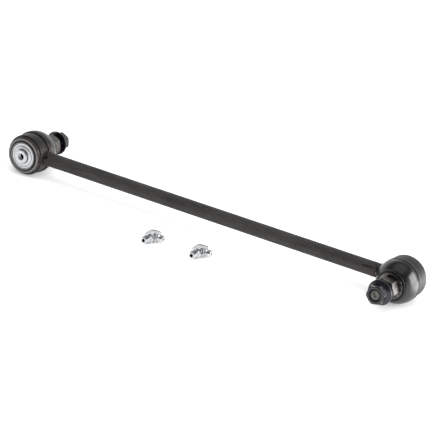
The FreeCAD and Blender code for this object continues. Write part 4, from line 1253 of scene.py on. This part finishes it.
class LINK_OT_stage(bpy.types.Operator):
    """Set up the floor, the light tent, the lamps and the camera"""
    bl_idname = "link.stage"
    bl_label = "Stage"

    def execute(self, context):
        stage = context.scene.link_stage
        scene = context.scene
        self.make_floor(stage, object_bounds()[0].z)
        self.make_world(stage, scene)
        self.make_lamps()
        self.make_camera(stage, scene)
        scene.view_settings.view_transform = "Standard"
        return {"FINISHED"}

    def make_floor(self, stage, height):
        """White paper that keeps the link's shadow and shows as white as the tent behind it, with a bright
        card beside the right-hand joint that shows in reflections alone."""
        shape = bmesh.new()
        bmesh.ops.create_grid(shape, x_segments=1, y_segments=1, size=3)
        floor = placed("floor", shape, Matrix.Translation((0, 0, height - mm(0.02))))
        material, tree, where = start_material("white_paper")
        fibre = speckle(tree, where, 2.0, 3.0, 0.5)
        paper = add(tree, "ShaderNodeValToRGB", {"Fac": fibre}, [
            (0.3, shade(stage.floor, 0.985)), (0.7, stage.floor[:])]).outputs["Color"]
        matt = add(tree, "ShaderNodeBsdfDiffuse", {"Color": paper})
        ray = add(tree, "ShaderNodeLightPath")
        mirrored = add(tree, "ShaderNodeMath", {
            0: ray.outputs["Is Glossy Ray"], 1: PAPER_MIRRORED}, operation="MULTIPLY")
        seen = add(tree, "ShaderNodeMath", {
            0: ray.outputs["Is Camera Ray"], 1: mirrored.outputs[0]}, operation="MAXIMUM")
        seen = add(tree, "ShaderNodeMath", {
            0: seen.outputs[0], 1: ray.outputs["Is Transmission Ray"]}, operation="MAXIMUM")
        lift = add(tree, "ShaderNodeMath", {0: seen.outputs[0], 1: stage.paper_glow}, operation="MULTIPLY")
        spot = add(tree, "ShaderNodeSeparateXYZ", {"Vector": where})
        along = add(tree, "ShaderNodeMapRange", {
            "Value": spot.outputs["X"], "From Min": CARD_X[0], "From Max": CARD_X[1]})
        behind = add(tree, "ShaderNodeMapRange", {
            "Value": spot.outputs["Y"], "From Min": CARD_Y[0], "From Max": CARD_Y[1]})
        card = add(tree, "ShaderNodeMath", {
            0: along.outputs["Result"], 1: behind.outputs["Result"]}, operation="MULTIPLY")
        card = add(tree, "ShaderNodeMath", {0: card.outputs[0], 1: stage.card_glow}, operation="MULTIPLY")
        card = add(tree, "ShaderNodeMath", {
            0: ray.outputs["Is Glossy Ray"], 1: card.outputs[0]}, operation="MULTIPLY")
        lift = add(tree, "ShaderNodeMath", {0: lift.outputs[0], 1: card.outputs[0]}, operation="ADD")
        glow = add(tree, "ShaderNodeEmission", {"Color": (1, 1, 1, 1), "Strength": lift.outputs[0]})
        both = add(tree, "ShaderNodeAddShader", {0: matt.outputs[0], 1: glow.outputs[0]})
        add(tree, "ShaderNodeOutputMaterial", {"Surface": both.outputs[0]})
        floor.data.materials.append(material)
        floor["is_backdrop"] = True

    def make_world(self, stage, scene):
        """A white sweep behind the link under a dark studio with a pale ceiling panel, which the metal
        mirrors; plain even light for everything else."""
        world = bpy.data.worlds.new("studio")
        scene.world = world
        world.use_nodes = True
        tree = world.node_tree
        tree.nodes.clear()
        ray = add(tree, "ShaderNodeLightPath")
        where = add(tree, "ShaderNodeTexCoord").outputs["Generated"]
        parts = add(tree, "ShaderNodeSeparateXYZ", {"Vector": where})
        lean = add(tree, "ShaderNodeMath", {0: parts.outputs["Y"], 1: -0.4}, operation="MULTIPLY").outputs[0]
        height = add(tree, "ShaderNodeMath", {0: parts.outputs["Z"], 1: lean}, operation="ADD").outputs[0]
        mirrored = add(tree, "ShaderNodeMapRange", {
            "Value": height, "From Min": SWEEP_EDGE[0], "From Max": SWEEP_EDGE[1],
            "To Min": 1.0, "To Max": STUDIO_DARK}).outputs[0]
        overhead = add(tree, "ShaderNodeMapRange", {
            "Value": parts.outputs["Z"], "From Min": PANEL_EDGE[0], "From Max": PANEL_EDGE[1],
            "To Max": PANEL_LIGHT})
        mirrored = add(tree, "ShaderNodeMath", {
            0: mirrored, 1: overhead.outputs["Result"]}, operation="MAXIMUM").outputs[0]
        even = add(tree, "ShaderNodeMapRange", {
            "Value": ray.outputs["Is Camera Ray"], "To Min": EVEN_LIGHT}).outputs[0]
        strength = add(tree, "ShaderNodeMix", {
            0: ray.outputs["Is Glossy Ray"], 2: even, 3: mirrored}).outputs[0]
        light = add(tree, "ShaderNodeBackground", {"Color": (*stage.backdrop, 1), "Strength": strength})
        add(tree, "ShaderNodeOutputWorld", {"Surface": light.outputs[0]})

    def make_lamps(self):
        """A broad lamp overhead and a low one at the front, which only light, and one to the right that the
        boots and nuts also mirror."""
        for name, spot, aim, width, power, mirrored in LAMPS:
            light = bpy.data.lights.new(name, "AREA")
            light.shape = "SQUARE"
            light.size = width
            light.energy = power
            lamp = bpy.data.objects.new(name, light)
            lamp.location = spot
            lamp.rotation_euler = (Vector(aim) - Vector(spot)).to_track_quat("-Z", "Y").to_euler()
            lamp.visible_glossy = mirrored
            bpy.context.scene.collection.objects.link(lamp)

    def make_camera(self, stage, scene):
        data = bpy.data.cameras.new("camera")
        data.lens = stage.lens
        camera = bpy.data.objects.new("camera", data)
        turn = Matrix.Rotation(stage.azimuth, 4, "Z") @ Matrix.Rotation(math.pi / 2 - stage.elevation, 4, "X")
        turn = turn @ Matrix.Rotation(stage.roll, 4, "Z")
        back = turn.to_3x3() @ Vector((0, 0, 1))
        camera.matrix_world = Matrix.Translation(Vector(CAMERA_TARGET) + back * stage.distance) @ turn
        data.clip_end = 20
        scene.collection.objects.link(camera)
        scene.camera = camera


class LINK_PT_panel(bpy.types.Panel):
    """Lists the link's operators and sizes"""
    bl_idname = "LINK_PT_panel"
    bl_label = "Stabiliser Bar Link"
    bl_space_type = "VIEW_3D"
    bl_region_type = "UI"
    bl_category = "Link"

    def draw(self, context):
        for operator in OPERATORS:
            self.layout.operator(operator.bl_idname)
        for name, group in GROUPS.items():
            box = self.layout.box()
            for key in group.__annotations__:
                box.prop(getattr(context.scene, name), key)


OPERATORS = (
    LINK_OT_bar,
    LINK_OT_housings,
    LINK_OT_boots,
    LINK_OT_studs,
    LINK_OT_fittings,
    LINK_OT_inner_parts,
    LINK_OT_stage,
)


def register():
    for group in GROUPS.values():
        bpy.utils.register_class(group)
    for name, group in GROUPS.items():
        setattr(bpy.types.Scene, name, PointerProperty(type=group))
    for operator in OPERATORS:
        bpy.utils.register_class(operator)
    bpy.utils.register_class(LINK_PT_panel)


def unregister():
    bpy.utils.unregister_class(LINK_PT_panel)
    for operator in reversed(OPERATORS):
        bpy.utils.unregister_class(operator)
    for name in GROUPS:
        delattr(bpy.types.Scene, name)
    for group in GROUPS.values():
        bpy.utils.unregister_class(group)


def main():
    register()
    for operator in OPERATORS:
        group, name = operator.bl_idname.split(".")
        getattr(getattr(bpy.ops, group), name)()


if __name__ == "__main__":
    main()
